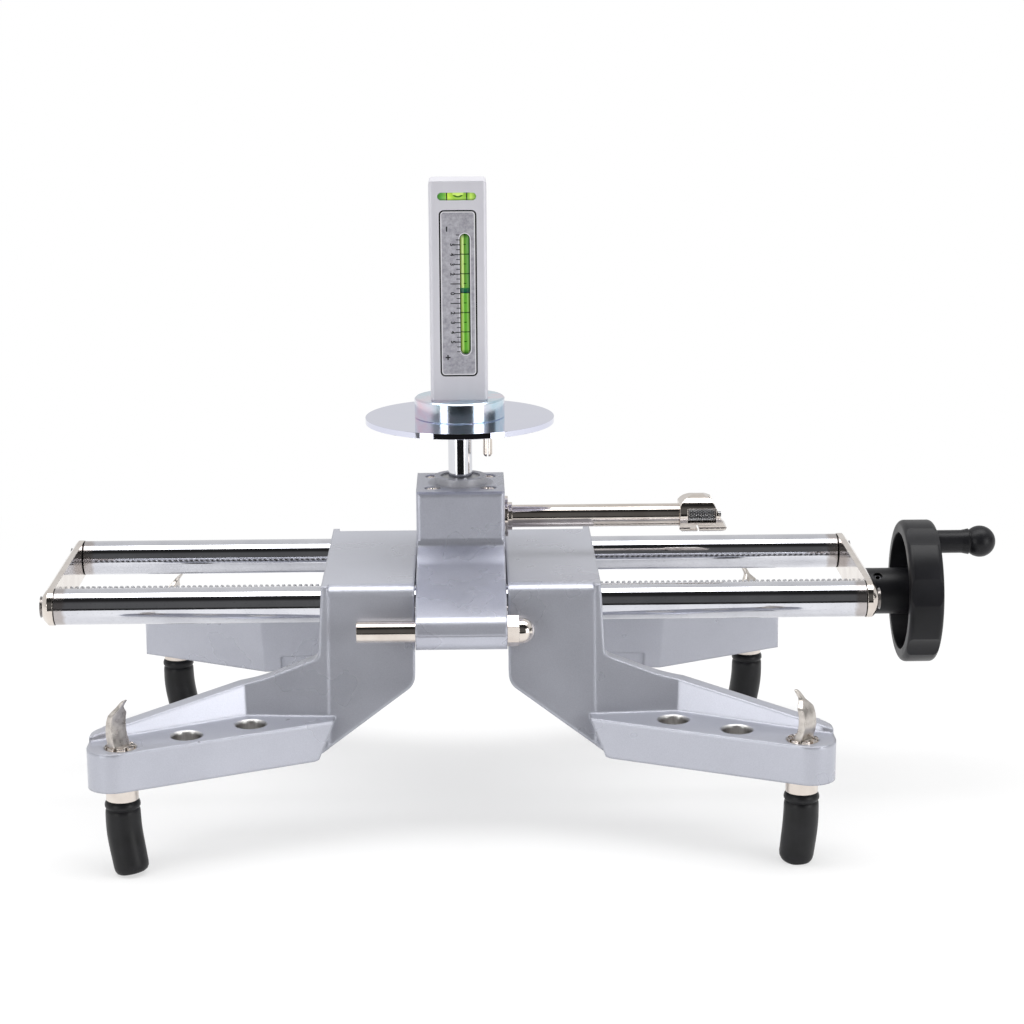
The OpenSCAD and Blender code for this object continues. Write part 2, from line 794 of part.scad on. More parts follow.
module lead_screw() {
    color("gainsboro") difference() {
        union() {
            bar_x(screw_d, -half_len + end_play, -hub_x, 0, screw_z);
            bar_x(relief_d, -hub_x - eps, hub_x + eps, 0, screw_z);
            bar_x(screw_d, hub_x, half_len - end_play, 0, screw_z);
            bar_x(journal_d, -half_len - lobe_t - ring_t - 1, screw_end, 0, screw_z);
        }
    }
}

module thrust_ring() {
    color("dimgray") pipe_x(bush_d, journal_d, -half_len - lobe_t - end_play - ring_t,
        -half_len - lobe_t - end_play, 0, screw_z);
}

grub_x = wheel_x + 8;
wheel_grub_d = 6;
lobe_cut_r = 40;
opening = [13, 7];
openings = 6;

// Section of the rim: radius runs along x, the wheel's axis along y
module rim_section() {
    translate([wheel_d / 2 - rim_wall / 2 - rim_wall / 2, wheel_w / 2])
        rounded([2 * rim_wall, wheel_w], 4);
}

module handwheel() {
    inner = wheel_d / 2 - rim_wall;
    color("dimgray") difference() {
        translate([0, 0, screw_z]) rotate([0, 90, 0]) difference() {
            union() {
                translate([0, 0, wheel_x]) cylinder(d = wheel_hub_d, h = wheel_hub_len);
                translate([0, 0, rim_x]) rotate_extrude($fn = 128) intersection() {
                    translate([inner, 0]) square([rim_wall, wheel_w]);
                    rim_section();
                }
                translate([0, 0, rim_x + wheel_w - web_t - 2]) cylinder(r = inner + 1, h = web_t);
                translate([-crank_r, 0, rim_x + 6]) cylinder(d = grip[0] + 1, h = wheel_w - 6);
            }
            // hollows between the lobes
            for (i = [0:lobes - 1]) rotate((i + 0.5) * 360 / lobes + 180)
                translate([wheel_d / 2 + lobe_cut_r - lobe_depth, 0, rim_x - 1])
                    cylinder(r = lobe_cut_r, h = wheel_w + 2, $fn = 128);
            // openings in the web, with the crank's boss left out
            for (i = [1:openings - 1]) rotate(180 + i * 360 / openings)
                translate([(wheel_hub_d / 2 + inner) / 2, 0, rim_x + wheel_w - web_t - 3])
                    linear_extrude(web_t + 4) rounded([opening[0], 2 * opening[1]], 5);
            translate([0, 0, wheel_x - 1]) cylinder(d = journal_d, h = screw_end - wheel_x + 1);
            translate([-crank_r, 0, rim_x]) cylinder(d = crank_pin_d, h = wheel_w + 1);
        }
        // grub screw hole towards the front
        translate([grub_x, 0, screw_z]) rotate([90 - grub_tilt, 0, 0])
            translate([0, 0, -wheel_hub_d]) cylinder(d = wheel_grub_d, h = wheel_hub_d);
    }
}

grub_tilt = -125;
crank_pin_d = 8;
crank_head = [13, 4];

module wheel_grub_screw() {
    color("gray") translate([grub_x, 0, screw_z]) rotate([90 - grub_tilt, 0, 0])
        translate([0, 0, -wheel_hub_d / 2 + 2]) difference() {
            cylinder(d = wheel_grub_d, h = (wheel_hub_d - journal_d) / 2 - 2);
            translate([0, 0, -1]) cylinder(d = 3.4, h = 4, $fn = 6);
        }
}

grip_gap = 0.4;
grip_x = rim_x + wheel_w + grip_gap;
ball_x = grip_x + grip[1] + ball_d * 0.42;

module crank_pin() {
    color("gray") {
        bar_x(crank_pin_d, rim_x + 6, grip_x + grip[1], 0, screw_z + crank_r);
        bar_x(crank_head[0], rim_x + wheel_w, grip_x - eps, 0, screw_z + crank_r);
    }
}

module crank_handle() {
    color("dimgray") translate([0, 0, screw_z + crank_r]) rotate([0, 90, 0]) difference() {
        union() {
            translate([0, 0, grip_x]) cylinder(d = grip[0], h = ball_x - grip_x);
            translate([0, 0, ball_x]) sphere(d = ball_d);
            // neck that flares into the ball
            translate([0, 0, grip_x + grip[1] - 4])
                cylinder(d1 = grip[0], d2 = grip[0] + 2, h = 5);
        }
        translate([0, 0, grip_x - 1]) cylinder(d = crank_pin_d + 2 * run, h = grip[1] + 1 + grip_gap);
    }
}

// ---- sliders -------------------------------------------------------------------------
t_y = wall_t / cos(lean);
guide_d = tube_d + 2 * guide_wall;
boss_r = guide_d / 2 + boss_wall;
nut_boss_r = nut_d / 2 + boss_wall + 1.5;

// Half of the slider's cross-section, one side of its middle plane
low = arm_floor - 5;
high = slider_top + 5;

module slider_half() {
    roof = slider_top - top_t;
    difference() {
        polygon(concat([[0, low], [0, slider_top]],
                       arc([flat_y, slider_top - edge_r], edge_r, 90, lean),
                       [[wall_y(low), low]]));
        difference() {
            polygon([[-1, low - 1], [-1, roof], [wall_y(roof) - t_y, roof],
                     [wall_y(low - 1) - t_y, low - 1]]);
            translate([tube_y, tube_z]) circle(boss_r);
            translate([0, screw_z]) circle(nut_boss_r);
            translate([-1, screw_z]) square([nut_boss_r * 0.75, roof - screw_z + 1]);
        }
    }
}

side_draft = 2.4;
ledge_z = 125;
arm_diag = [[slider_in, 107], [slider_out, arm_floor]];
diag_r = [12, 11];
tip_x = finger_at[0] + hole_d / 2 + tip_wall;
rib_slopes = [-21, -10.4];
rib_turn_x = 41;

// Slider and rib seen from the front: x along the tubes, z up
module slider_side() {
    foot = [slider_out, ledge_z];
    turn = foot + rib_turn_x * [1, tan(rib_slopes[0])];
    tip = turn + (tip_x + 5 - turn[0]) * [1, tan(rib_slopes[1])];
    draft_a = atan(side_draft / (slider_top - ledge_z));
    diag_a = angle(arm_diag[0] - arm_diag[1]);
    polygon(concat(
        [[slider_in, slider_top], [slider_out - side_draft, slider_top]],
        corner_arc(foot, rib_slopes[0], 90 + draft_a, 6, true),
        corner_arc(turn, rib_slopes[1], 180 + rib_slopes[0], 140, true),
        [tip, [tip_x + 5, arm_floor]],
        corner_arc(arm_diag[1], 0, diag_a, diag_r[1]),
        corner_arc(arm_diag[0], diag_a - 180, 90, diag_r[0])));
}

// Cutter on one side of the leaning face that passes through p at shelf height and runs
// along angle a. The face stands out by off, and the cutter reaches w to its left.
module face_cut(p, a, off, w) {
    function face(z) = off + (shelf_z - z) * tan(lean);
    translate([p[0], p[1], 0]) rotate(a) along_x(-big, big)
        polygon([[face(low - 2), low - 2], [face(high), high],
                 [face(high) + w, high], [face(low - 2) + w, low - 2]]);
}

// Lines of the arm in plan
row_dir = dir(hole_row_a);
edge_dir = dir(shelf_edge_a);
edge_n = [-edge_dir[1], edge_dir[0]];
holes = [for (k = [0:2]) finger_at - k * hole_pitch * row_dir];
edge_p = finger_at + (hole_d / 2 + hole_wall) * edge_n;
rib_dir = dir(rib_a);
rib_n = [-rib_dir[1], rib_dir[0]];
wall_p = [slider_out, wall_y(shelf_z)];
knee_a = atan2(knee[1] - wall_p[1], knee[0] - wall_p[0]);
shelf_in = slider_out - 11.5;
function on_edge(x) = edge_p + (x - edge_p[0]) / edge_dir[0] * edge_dir;
function on_rib(x) = knee + (x - knee[0]) / rib_dir[0] * rib_dir;
// centres of the two rounded corners of the tip
tip_out = [tip_x - tip_r[0],
           edge_p[1] + ((tip_x - tip_r[0] - edge_p[0]) * edge_dir[1] - tip_r[0]) / edge_dir[0]];
tip_back = [tip_x - tip_r[1], on_rib(tip_x - tip_r[1])[1] + (tip_r[1] - wall_t) / rib_dir[0]];

module shelf_plan() {
    polygon(concat(
        [[shelf_in, wall_p[1] - 4], on_edge(shelf_in)],
        arc(tip_out, tip_r[0], 90 + shelf_edge_a, 0),
        [[tip_x, on_rib(tip_x)[1] - 5], knee - [0, 5]]));
}

// Hollow under the shelf, between the bosses of the finger holes
module shelf_hollow() {
    x0 = shelf_in + 32;
    x1 = finger_at[0];
    difference() {
        polygon([on_edge(x0) - shelf_wall * edge_n, on_edge(x1) - shelf_wall * edge_n,
                 on_rib(x1) + shelf_wall * rib_n, on_rib(knee[0]) + shelf_wall * rib_n,
                 [x0, knee[1] + shelf_wall + 4]]);
        for (h = holes) translate(h) circle(hole_d / 2 + hole_wall);
    }
}

// Outline of the arm's tip in plan, which rounds the end of the rib
module tip_plan() {
    round = arc(tip_back, tip_r[1], rib_a - 90, 0);
    polygon(concat([[0, 0], [round[0][0], 0]], round, [[tip_x, big], [0, big]]));
}

notch = [113, 138, 72];

// Wall and rib of one arm. Its faces overlap the slider's by a hair, so that no two lie
// in one plane.
module arm_wall() {
    lap = 7;
    difference() {
        intersection() {
            translate([slider_out - lap, 0, low]) cube([tip_x - slider_out + lap, 200, high - 1 - low]);
            translate([0, 0, low - 1]) linear_extrude(high - low + 1) tip_plan();
        }
        intersection() {
            face_cut(wall_p, knee_a, 0.15, big);
            face_cut(knee, rib_a, 0, big);
        }
        face_cut(wall_p, knee_a, 1 - wall_t / cos(lean), -big);
        face_cut(knee, rib_a, -wall_t / cos(lean), -big);
        // cast opening in the lower edge of the rib
        translate([notch[0], knee[1] - 25, low - 1])
            cube([notch[1] - notch[0], 24, notch[2] - low + 1]);
    }
}

module arm_shelf() {
    intersection() {
        difference() {
            translate([0, 0, low]) linear_extrude(shelf_z - low) shelf_plan();
            translate([0, 0, low - 1]) linear_extrude(shelf_z - shelf_t - low + 1) shelf_hollow();
        }
        along_y(0, big) polygon([[shelf_in, shelf_z + 1], [slider_out, arm_floor - 1], [slider_out, low - 1],
                                 [tip_x + 1, low - 1], [tip_x + 1, shelf_z + 1]]);
    }
}

module slider_casting() {
    sink = 1;
    difference() {
        intersection() {
            union() {
                along_x(slider_in - 1, slider_out) both([1, 0]) slider_half();
                both([0, 1, 0]) {
                    arm_wall();
                    arm_shelf();
                }
            }
            along_y(-big, big) slider_side();
        }
        for (y = [-tube_y, tube_y]) {
            bar_x(tube_d + 1, slider_in - 1, slider_out + 4, y, tube_z);
            bar_x(guide_d, slider_in - 1, slider_in + guide_len, y, tube_z);
            bar_x(guide_d, slider_out - guide_len - 3, slider_out + 4, y, tube_z);
        }
        bar_x(nut_d, slider_in - 1, slider_in + nut_len, 0, screw_z);
        bar_x(screw_d + 2 * screw_room, slider_in, slider_out + 4, 0, screw_z);
        both([0, 1, 0]) for (h = holes) translate([h[0], h[1], arm_floor - 1]) {
            cylinder(d = hole_d, h = shelf_z - arm_floor + 2);
            translate([0, 0, shelf_z - arm_floor + 1 - sink])
                cylinder(d1 = hole_d, d2 = hole_d + 2 * sink + 0.2, h = sink + 0.1);
        }
    }
}

module right_slider() {
    color("silver") slider_casting();
}

module left_slider() {
    color("silver") mirror([1, 0, 0]) slider_casting();
}

module guide_bushes() {
    for (y = [-tube_y, tube_y]) {
        pipe_x(guide_d, tube_d + 2 * run, slider_in, slider_in + guide_len, y, tube_z);
        pipe_x(guide_d, tube_d + 2 * run, slider_out - guide_len - 3, slider_out - 3, y, tube_z);
    }
}

module right_guide_bushes() {
    color("peru") guide_bushes();
}

module left_guide_bushes() {
    color("peru") mirror([1, 0, 0]) guide_bushes();
}

module right_lead_nut() {
    color("peru") pipe_x(nut_d, screw_d + 2 * run, slider_in, slider_in + nut_len, 0, screw_z);
}

module left_lead_nut() {
    color("peru") mirror([1, 0, 0])
        pipe_x(nut_d, screw_d + 2 * run, slider_in, slider_in + nut_len, 0, screw_z);
}

// ---- fingers -------------------------------------------------------------------------
collar_low = 9;
ring_flange_d = 21.6;
shank_d = 13;
ring_top = shelf_z + 1.2;
sleeve_top = arm_floor - collar_low;
bend_z = 30;

// Places a piece of a finger, turned by turns[i]. i counts front left, front right, rear
// left, rear right.
module at_finger(i, turns) {
    sx = i % 2 == 0 ? -1 : 1;
    sy = i < 2 ? -1 : 1;
    translate([sx * finger_at[0], sy * finger_at[1], 0]) rotate(turns[i]) children();
}

// Claw above its ring, in its own frame with the hook towards +x: the crescent between a
// back and a hollow face, each an arc as [x, height, radius]
claw_back = [19.8, 10.8, 25.7];
claw_face = [27.6, 12.4, 28.5];
claw_reach = 7.2;
// Heights of the claw's shoulders, as shares of its height
claw_shoulder = [0.66, 0.84];

module claw_head() {
    foot = claw_w[0] / 2;
    neck = foot - 0.8;
    nose = claw_w[1] / 2;
    z = claw_shoulder * claw_h;
    translate([0, 0, ring_top]) intersection() {
        along_y(-foot - 1, foot + 1) difference() {
            intersection() {
                translate([claw_back[0], claw_back[1]]) circle(claw_back[2], $fn = 128);
                translate([-hole_d / 2, 0]) square([hole_d / 2 + claw_reach, claw_h]);
            }
            translate([claw_face[0], claw_face[1]]) circle(claw_face[2], $fn = 128);
        }
        along_x(-hole_d, hole_d)
            polygon([[-foot, -1], [foot, -1], [neck, z[0]], [nose, z[1]], [nose, claw_h + 1],
                     [-nose, claw_h + 1], [-nose, z[1]], [-neck, z[0]]]);
    }
}

// Bent round bar from z = low up to z = high, d across
module shank(d, low, high) {
    translate([0, 0, bend_z]) {
        cylinder(d = d, h = high - bend_z);
        sphere(d = d);
        rotate([0, 180 - finger_bend, 0]) cylinder(d = d, h = bend_z - low);
    }
}

// Bush with notches around its top, held under the shelf by its flange
module claw_ring_shape() {
    notches = 8;
    difference() {
        union() {
            translate([0, 0, sleeve_top]) cylinder(d = ring_flange_d, h = collar_low);
            translate([0, 0, arm_floor - eps])
                cylinder(d = hole_d - 2 * run, h = ring_top - arm_floor);
        }
        translate([0, 0, sleeve_top - 1]) cylinder(d = shank_d, h = big);
        for (i = [0:notches / 2 - 1]) rotate(i * 360 / notches + 22.5)
            translate([-hole_d, -1.2, ring_top - 2.4]) cube([2 * hole_d, 2.4, 3]);
    }
}

// Rubber sleeve over the shank, closed and flat at its foot
module sleeve_shape() {
    difference() {
        union() {
            translate([0, 0, bend_z]) {
                cylinder(d = sleeve_d, h = sleeve_top - bend_z);
                sphere(d = sleeve_d);
                rotate([0, 180 - finger_bend, 0]) {
                    cylinder(d = sleeve_d, h = bend_z - 4);
                    cylinder(d = sleeve_d - 8, h = bend_z + 2);
                    translate([0, 0, bend_z - 4]) rotate_extrude() {
                        translate([sleeve_d / 2 - 4, 0]) circle(4);
                    }
                }
            }
        }
        shank(shank_d, 4, sleeve_top + 1);
        translate([-sleeve_d, -sleeve_d, -10]) cube([2 * sleeve_d, 2 * sleeve_d, 10]);
    }
}

module claw(i) {
    color("silver") {
        at_finger(i, claw_turn) claw_head();
        at_finger(i, bend_turn) shank(shank_d, 4, ring_top + eps);
    }
}

module claw_ring(i) {
    color("gainsboro") at_finger(i, claw_turn) claw_ring_shape();
}

module sleeve(i) {
    color("black") at_finger(i, bend_turn) sleeve_shape();
}

module claw_front_left() {
    claw(0);
}

module claw_front_right() {
    claw(1);
}

module claw_rear_left() {
    claw(2);
}

module claw_rear_right() {
    claw(3);
}

module claw_ring_front_left() {
    claw_ring(0);
}

module claw_ring_front_right() {
    claw_ring(1);
}

module claw_ring_rear_left() {
    claw_ring(2);
}

module claw_ring_rear_right() {
    claw_ring(3);
}

module sleeve_front_left() {
    sleeve(0);
}

module sleeve_front_right() {
    sleeve(1);
}

module sleeve_rear_left() {
    sleeve(2);
}

module sleeve_rear_right() {
    sleeve(3);
}

centre_hub();
front_tube();
rear_tube();
left_end_plate();
right_end_plate();
tube_plugs();
plate_screws();
screw_bushes();
hub_grub_screws();
spindle_cartridge();
spindle_bearings();
cartridge_screws();
long_rod();
rod_flange();
rod_head();
rod_jaw();
knurl_pin();
knurled_roller();
short_rod();
acorn_nut();
spindle();
gauge_disc();
disc_pin();
disc_screw();
gauge_foot();
gauge_stud();
gauge_body();
scale_plate();
camber_vial();
level_vial();
lead_screw();
thrust_ring();
handwheel();
wheel_grub_screw();
crank_pin();
crank_handle();
left_slider();
left_guide_bushes();
left_lead_nut();
right_slider();
right_guide_bushes();
right_lead_nut();
claw_front_left();
claw_front_right();
claw_rear_left();
claw_rear_right();
claw_ring_front_left();
claw_ring_front_right();
claw_ring_rear_left();
claw_ring_rear_right();
sleeve_front_left();
sleeve_front_right();
sleeve_rear_left();
sleeve_rear_right();
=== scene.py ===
import math

import bmesh
import bpy
import numpy as np
from mathutils import Matrix, Vector


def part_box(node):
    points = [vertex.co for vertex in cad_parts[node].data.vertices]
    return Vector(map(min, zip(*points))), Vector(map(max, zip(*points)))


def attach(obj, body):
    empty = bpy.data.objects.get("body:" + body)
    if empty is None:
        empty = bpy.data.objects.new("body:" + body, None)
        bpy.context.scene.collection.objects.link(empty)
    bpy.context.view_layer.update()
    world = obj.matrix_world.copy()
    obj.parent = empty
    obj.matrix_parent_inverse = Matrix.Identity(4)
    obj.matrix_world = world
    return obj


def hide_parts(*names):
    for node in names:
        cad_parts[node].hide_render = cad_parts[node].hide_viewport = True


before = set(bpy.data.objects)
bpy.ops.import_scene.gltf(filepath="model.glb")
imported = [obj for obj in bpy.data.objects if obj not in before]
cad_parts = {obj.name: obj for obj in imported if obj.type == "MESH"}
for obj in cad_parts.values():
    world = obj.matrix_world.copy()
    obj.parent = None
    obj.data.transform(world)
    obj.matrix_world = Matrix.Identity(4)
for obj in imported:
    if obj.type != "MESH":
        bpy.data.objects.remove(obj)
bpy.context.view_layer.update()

bl_info = {
    "name": "Camber Caster Gauge",
    "version": (1, 0, 0),
    "blender": (4, 5, 0),
    "location": "3D View > Sidebar > Gauge",
    "description": "Dresses a self-centring wheel clamp with its magnetic camber gauge",
    "category": "Object",
}

MM = 0.001

# sizes of the clamp, in millimetres: height of the lead screw's axis, half the length of a
# guide tube, half the width of the hub and the height of its top
SCREW_Z = 143.5
HALF = 279.5
HUB_X = 31.0
HUB_TOP = 226.6
# the hub's front: where its hollow begins, how far the shading leans there, its parting line
HOLLOW_TOP = 194.0
FACET_LEAN = math.radians(48)
PARTING_Z = 146.0


# ---- shader maths --------------------------------------------------------------------
class Wire:
    """A shader socket that takes part in sums: each operator adds one Math node."""

    def __init__(self, graph, socket):
        self.graph = graph
        self.socket = socket

    def _math(self, operation, first, second=None):
        inputs = {0: first} if second is None else {0: first, 1: second}
        return self.graph.add("ShaderNodeMath", {"operation": operation}, inputs)

    def __add__(self, other):
        return self._math("ADD", self, other)

    def __radd__(self, other):
        return self._math("ADD", other, self)

    def __sub__(self, other):
        return self._math("SUBTRACT", self, other)

    def __rsub__(self, other):
        return self._math("SUBTRACT", other, self)

    def __mul__(self, other):
        return self._math("MULTIPLY", self, other)

    def __rmul__(self, other):
        return self._math("MULTIPLY", other, self)

    def __truediv__(self, other):
        return self._math("DIVIDE", self, other)

    def __gt__(self, other):
        return self._math("GREATER_THAN", self, other)

    def __lt__(self, other):
        return self._math("LESS_THAN", self, other)

    def power(self, other):
        return self._math("POWER", self, other)

    def absolute(self):
        return self._math("ABSOLUTE", self)

    def fraction(self):
        return self._math("FRACT", self)

    def least(self, other):
        return self._math("MINIMUM", self, other)

    def most(self, other):
        return self._math("MAXIMUM", self, other)

    def part(self, name):
        """Another output of the same node."""
        return Wire(self.graph, self.socket.node.outputs[name])


class Graph:
    """A node tree in which nodes are added by type, settings and inputs."""

    def __init__(self, tree):
        self.tree = tree
        tree.nodes.clear()

    def add(self, kind, settings=None, inputs=None, out=0):
        """One node. Settings are set first; inputs are values or wires by name or number."""
        node = self.tree.nodes.new(kind)
        for name, value in (settings or {}).items():
            if name == "stops":
                ramp = node.color_ramp
                while len(ramp.elements) < len(value):
                    ramp.elements.new(0.5)
                for element, (place, color) in zip(ramp.elements, value):
                    element.position = place
                    element.color = color if len(color) == 4 else (*color, 1.0)
            else:
                setattr(node, name, value)
        for name, value in (inputs or {}).items():
            if isinstance(value, Wire):
                self.tree.links.new(value.socket, node.inputs[name])
            else:
                node.inputs[name].default_value = value
        return Wire(self, node.outputs[out]) if node.outputs else node

    def place(self, scale=1.0):
        """Object coordinates, in metres, times a scale or a scale for each axis."""
        point = self.add("ShaderNodeTexCoord", out="Object")
        size = (scale,) * 3 if isinstance(scale, (int, float)) else scale
        return self.add("ShaderNodeMapping", inputs={"Vector": point, "Scale": size})

    def noise(self, scale, detail=2.0, stretch=1.0, rough=0.5):
        """Noise from 0 to 1 with features of about 1/scale metres."""
        return self.add("ShaderNodeTexNoise", inputs={
            "Vector": self.place(stretch), "Scale": scale, "Detail": detail, "Roughness": rough})

    def ramp(self, value, low, high, start=0.0, end=1.0):
        """Value mapped from low..high to start..end, and held at the ends."""
        return self.add("ShaderNodeMapRange", {"clamp": True}, {
            "Value": value, "From Min": low, "From Max": high, "To Min": start, "To Max": end})

    def mix(self, factor, first, second):
        """Colour between first and second."""
        return self.add("ShaderNodeMix", {"data_type": "RGBA"},
                        {"Factor": factor, "A": rgba(first), "B": rgba(second)}, out="Result")

    def bump(self, height, strength, distance, normal=None):
        inputs = {"Height": height, "Strength": strength, "Distance": distance}
        if normal is not None:
            inputs["Normal"] = normal
        return self.add("ShaderNodeBump", inputs=inputs)

    def rounded(self, radius):
        """Normal of an edge that is rounded by this radius."""
        return self.add("ShaderNodeBevel", {"samples": 6}, {"Radius": radius})

    def axes(self, scale=1000.0):
        """Object coordinates as three wires, in millimetres."""
        split = self.add("ShaderNodeSeparateXYZ", inputs={"Vector": self.place(scale)})
        return split.part("X"), split.part("Y"), split.part("Z")

    def length(self, x, y, z=0.0):
        """Length of the vector x, y, z."""
        vector = self.add("ShaderNodeCombineXYZ", inputs={0: x, 1: y, 2: z})
        return self.add("ShaderNodeVectorMath", {"operation": "LENGTH"}, {0: vector}, out="Value")

    def band(self, value, low, high, soft=0.1):
        """One between low and high, nought outside, with edges as wide as soft."""
        return self.ramp(value, low - soft, low) * self.ramp(value, high, high + soft, 1.0, 0.0)

    def colours(self, value, *stops):
        """Colour at value from 0 to 1 between stops, each a place and an sRGB colour."""
        return self.add("ShaderNodeValToRGB", {"stops": [(at, linear(c)) for at, c in stops]},
                        {"Fac": value}, out="Color")


def rgba(color):
    """A colour with its alpha, or a wire as it is."""
    return color if isinstance(color, Wire) else (*tuple(color)[:3], 1.0)


def linear(color):
    """Linear colour of three sRGB values from 0 to 255."""
    return tuple(c / 255 / 12.92 if c <= 10 else ((c / 255 + 0.055) / 1.055) ** 2.4
                 for c in color)


def material(build):
    """A material whose surface the function build sets on a Principled shader. Its name
    differs from those of the frame's own plain materials."""
    name = "finish_" + build.__name__
    found = bpy.data.materials.get(name)
    if found:
        return found
    mat = bpy.data.materials.new(name)
    mat.use_nodes = True
    graph = Graph(mat.node_tree)
    shader = graph.add("ShaderNodeBsdfPrincipled", inputs={
        key: rgba(value) if key.endswith("Color") else value
        for key, value in build(graph).items()})
    graph.add("ShaderNodeOutputMaterial", inputs={"Surface": shader})
    return mat


def shades(g, factor, dark, light):
    """Colour between two sRGB colours."""
    return g.mix(factor, linear(dark), linear(light))


def dress(mat, *names):
    """Gives CAD nodes, by name, this material in all their slots."""
    for name in names:
        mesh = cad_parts[name].data
        mesh.materials.clear()
        mesh.materials.append(mat)


# ---- meshes --------------------------------------------------------------------------
def tube_faces(rows, cols):
    """Faces of rows of points that each go once round: quads between neighbours, and one
    polygon over each end. They face outwards where a row turns to the left as seen from
    the last row."""
    i, j = np.meshgrid(np.arange(rows - 1), np.arange(cols), indexing="ij")
    k = (j + 1) % cols
    quads = np.stack([i * cols + j, i * cols + k, (i + 1) * cols + k, (i + 1) * cols + j], -1)
    first = list(range(cols))
    return quads.reshape(-1, 4).tolist() + [first[::-1], [(rows - 1) * cols + c for c in first]]


def tube(points):
    """Closed mesh data of an array rows x columns x 3."""
    points = np.asarray(points, float)
    return points.reshape(-1, 3), tube_faces(*points.shape[:2])


def swept(r, z, count):
    """Points of radii and heights turned once about Z: a point lies at its radius times
    the cosine and the sine of the angle."""
    a = turns(count)
    return np.stack([r[:, None] * np.cos(a), r[:, None] * np.sin(a),
                     np.repeat(z[:, None], count, 1)], -1)


def ring(profile, count=64):
    """Shell of a closed profile [radius, height], listed so that it turns to the left,
    turned once about Z; the last row joins the first."""
    r, z = np.asarray(profile, float).T
    return swept(r, z, count).reshape(-1, 3), ring_faces(len(r), count)


def ring_faces(rows, cols):
    """Quads of rows of points that each go once round, the last row next to the first."""
    i, j = np.meshgrid(np.arange(rows), np.arange(cols), indexing="ij")
    n, k = (i + 1) % rows, (j + 1) % cols
    quads = np.stack([i * cols + j, i * cols + k, n * cols + k, n * cols + j], -1)
    return quads.reshape(-1, 4).tolist()


def joined(*parts):
    """Mesh data of several closed shells in one."""
    points, faces, start = [], [], 0
    for part_points, part_faces in parts:
        points.append(part_points)
        faces += [[v + start for v in face] for face in part_faces]
        start += len(part_points)
    return np.concatenate(points), faces


def turns(count):
    """Angles of one turn in equal steps."""
    return np.arange(count) * 2 * math.pi / count


def lathe(profile, count=64):
    """Shell of a profile [radius, height], listed upwards, turned once about Z."""
    r, z = np.asarray(profile, float).T
    return tube(swept(r, z, count))


def add_piece(name, part, mat, body, stands_for=(), smooth=30):
    """Object of mesh data in millimetres, which rides on a body."""
    points, faces = part
    mesh = bpy.data.meshes.new(name)
    mesh.from_pydata(points * MM, [], faces)
    mesh.validate()
    mesh.polygons.foreach_set("use_smooth", np.ones(len(mesh.polygons), bool))
    mesh.set_sharp_from_angle(angle=math.radians(smooth))
    mesh.materials.append(mat)
    ob = bpy.data.objects.new(name, mesh)
    bpy.context.scene.collection.objects.link(ob)
    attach(ob, body)
    if stands_for:
        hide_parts(*stands_for)


# ---- finishes ------------------------------------------------------------------------
# a finger's place and the step to its next spare hole, as distances from the clamp's middle
# planes, and the bore of the holes
FINGER_AT = (224.8, 165.6)
HOLE_STEP = (40.9, 22.95)
HOLES = [(FINGER_AT[0] - k * HOLE_STEP[0], FINGER_AT[1] - k * HOLE_STEP[1]) for k in range(3)]
HOLE_R = 11.15


def cast_paint(g):
    """Satin silver-grey paint on a casting, with fine grain and a slight orange-peel. The
    finger holes are bored bright after painting."""
    grain = g.noise(1400, 3)
    peel = g.noise(260, 2)
    tone = g.noise(22, 3)
    color = shades(g, g.ramp(tone, 0.3, 0.7), (174, 176, 186), (182, 184, 194))
    fleck = g.ramp(grain, 0.35, 0.65)
    color = g.mix(fleck * 0.25, color, linear((206, 208, 217)))
    x, y, z = g.axes()
    x, y = x.absolute(), y.absolute()
    near = g.length(x - HOLES[0][0], y - HOLES[0][1])
    for hole in HOLES[1:]:
        near = near.least(g.length(x - hole[0], y - hole[1]))
    bored = near < HOLE_R
    turning = g.noise(900, 2, (1, 1, 0.06))
    color = g.mix(bored, color, shades(g, turning, (196, 194, 192), (232, 231, 230)))
    painted = 1 - bored
    return {"Base Color": color, "Metallic": 0.52 + bored * 0.48,
            "Roughness": g.ramp(tone, 0.3, 0.7, 0.26, 0.32) * painted + bored * 0.28,
            "Normal": g.bump(grain * 0.4 + peel, 0.1, 0.0004, g.rounded(0.003))}


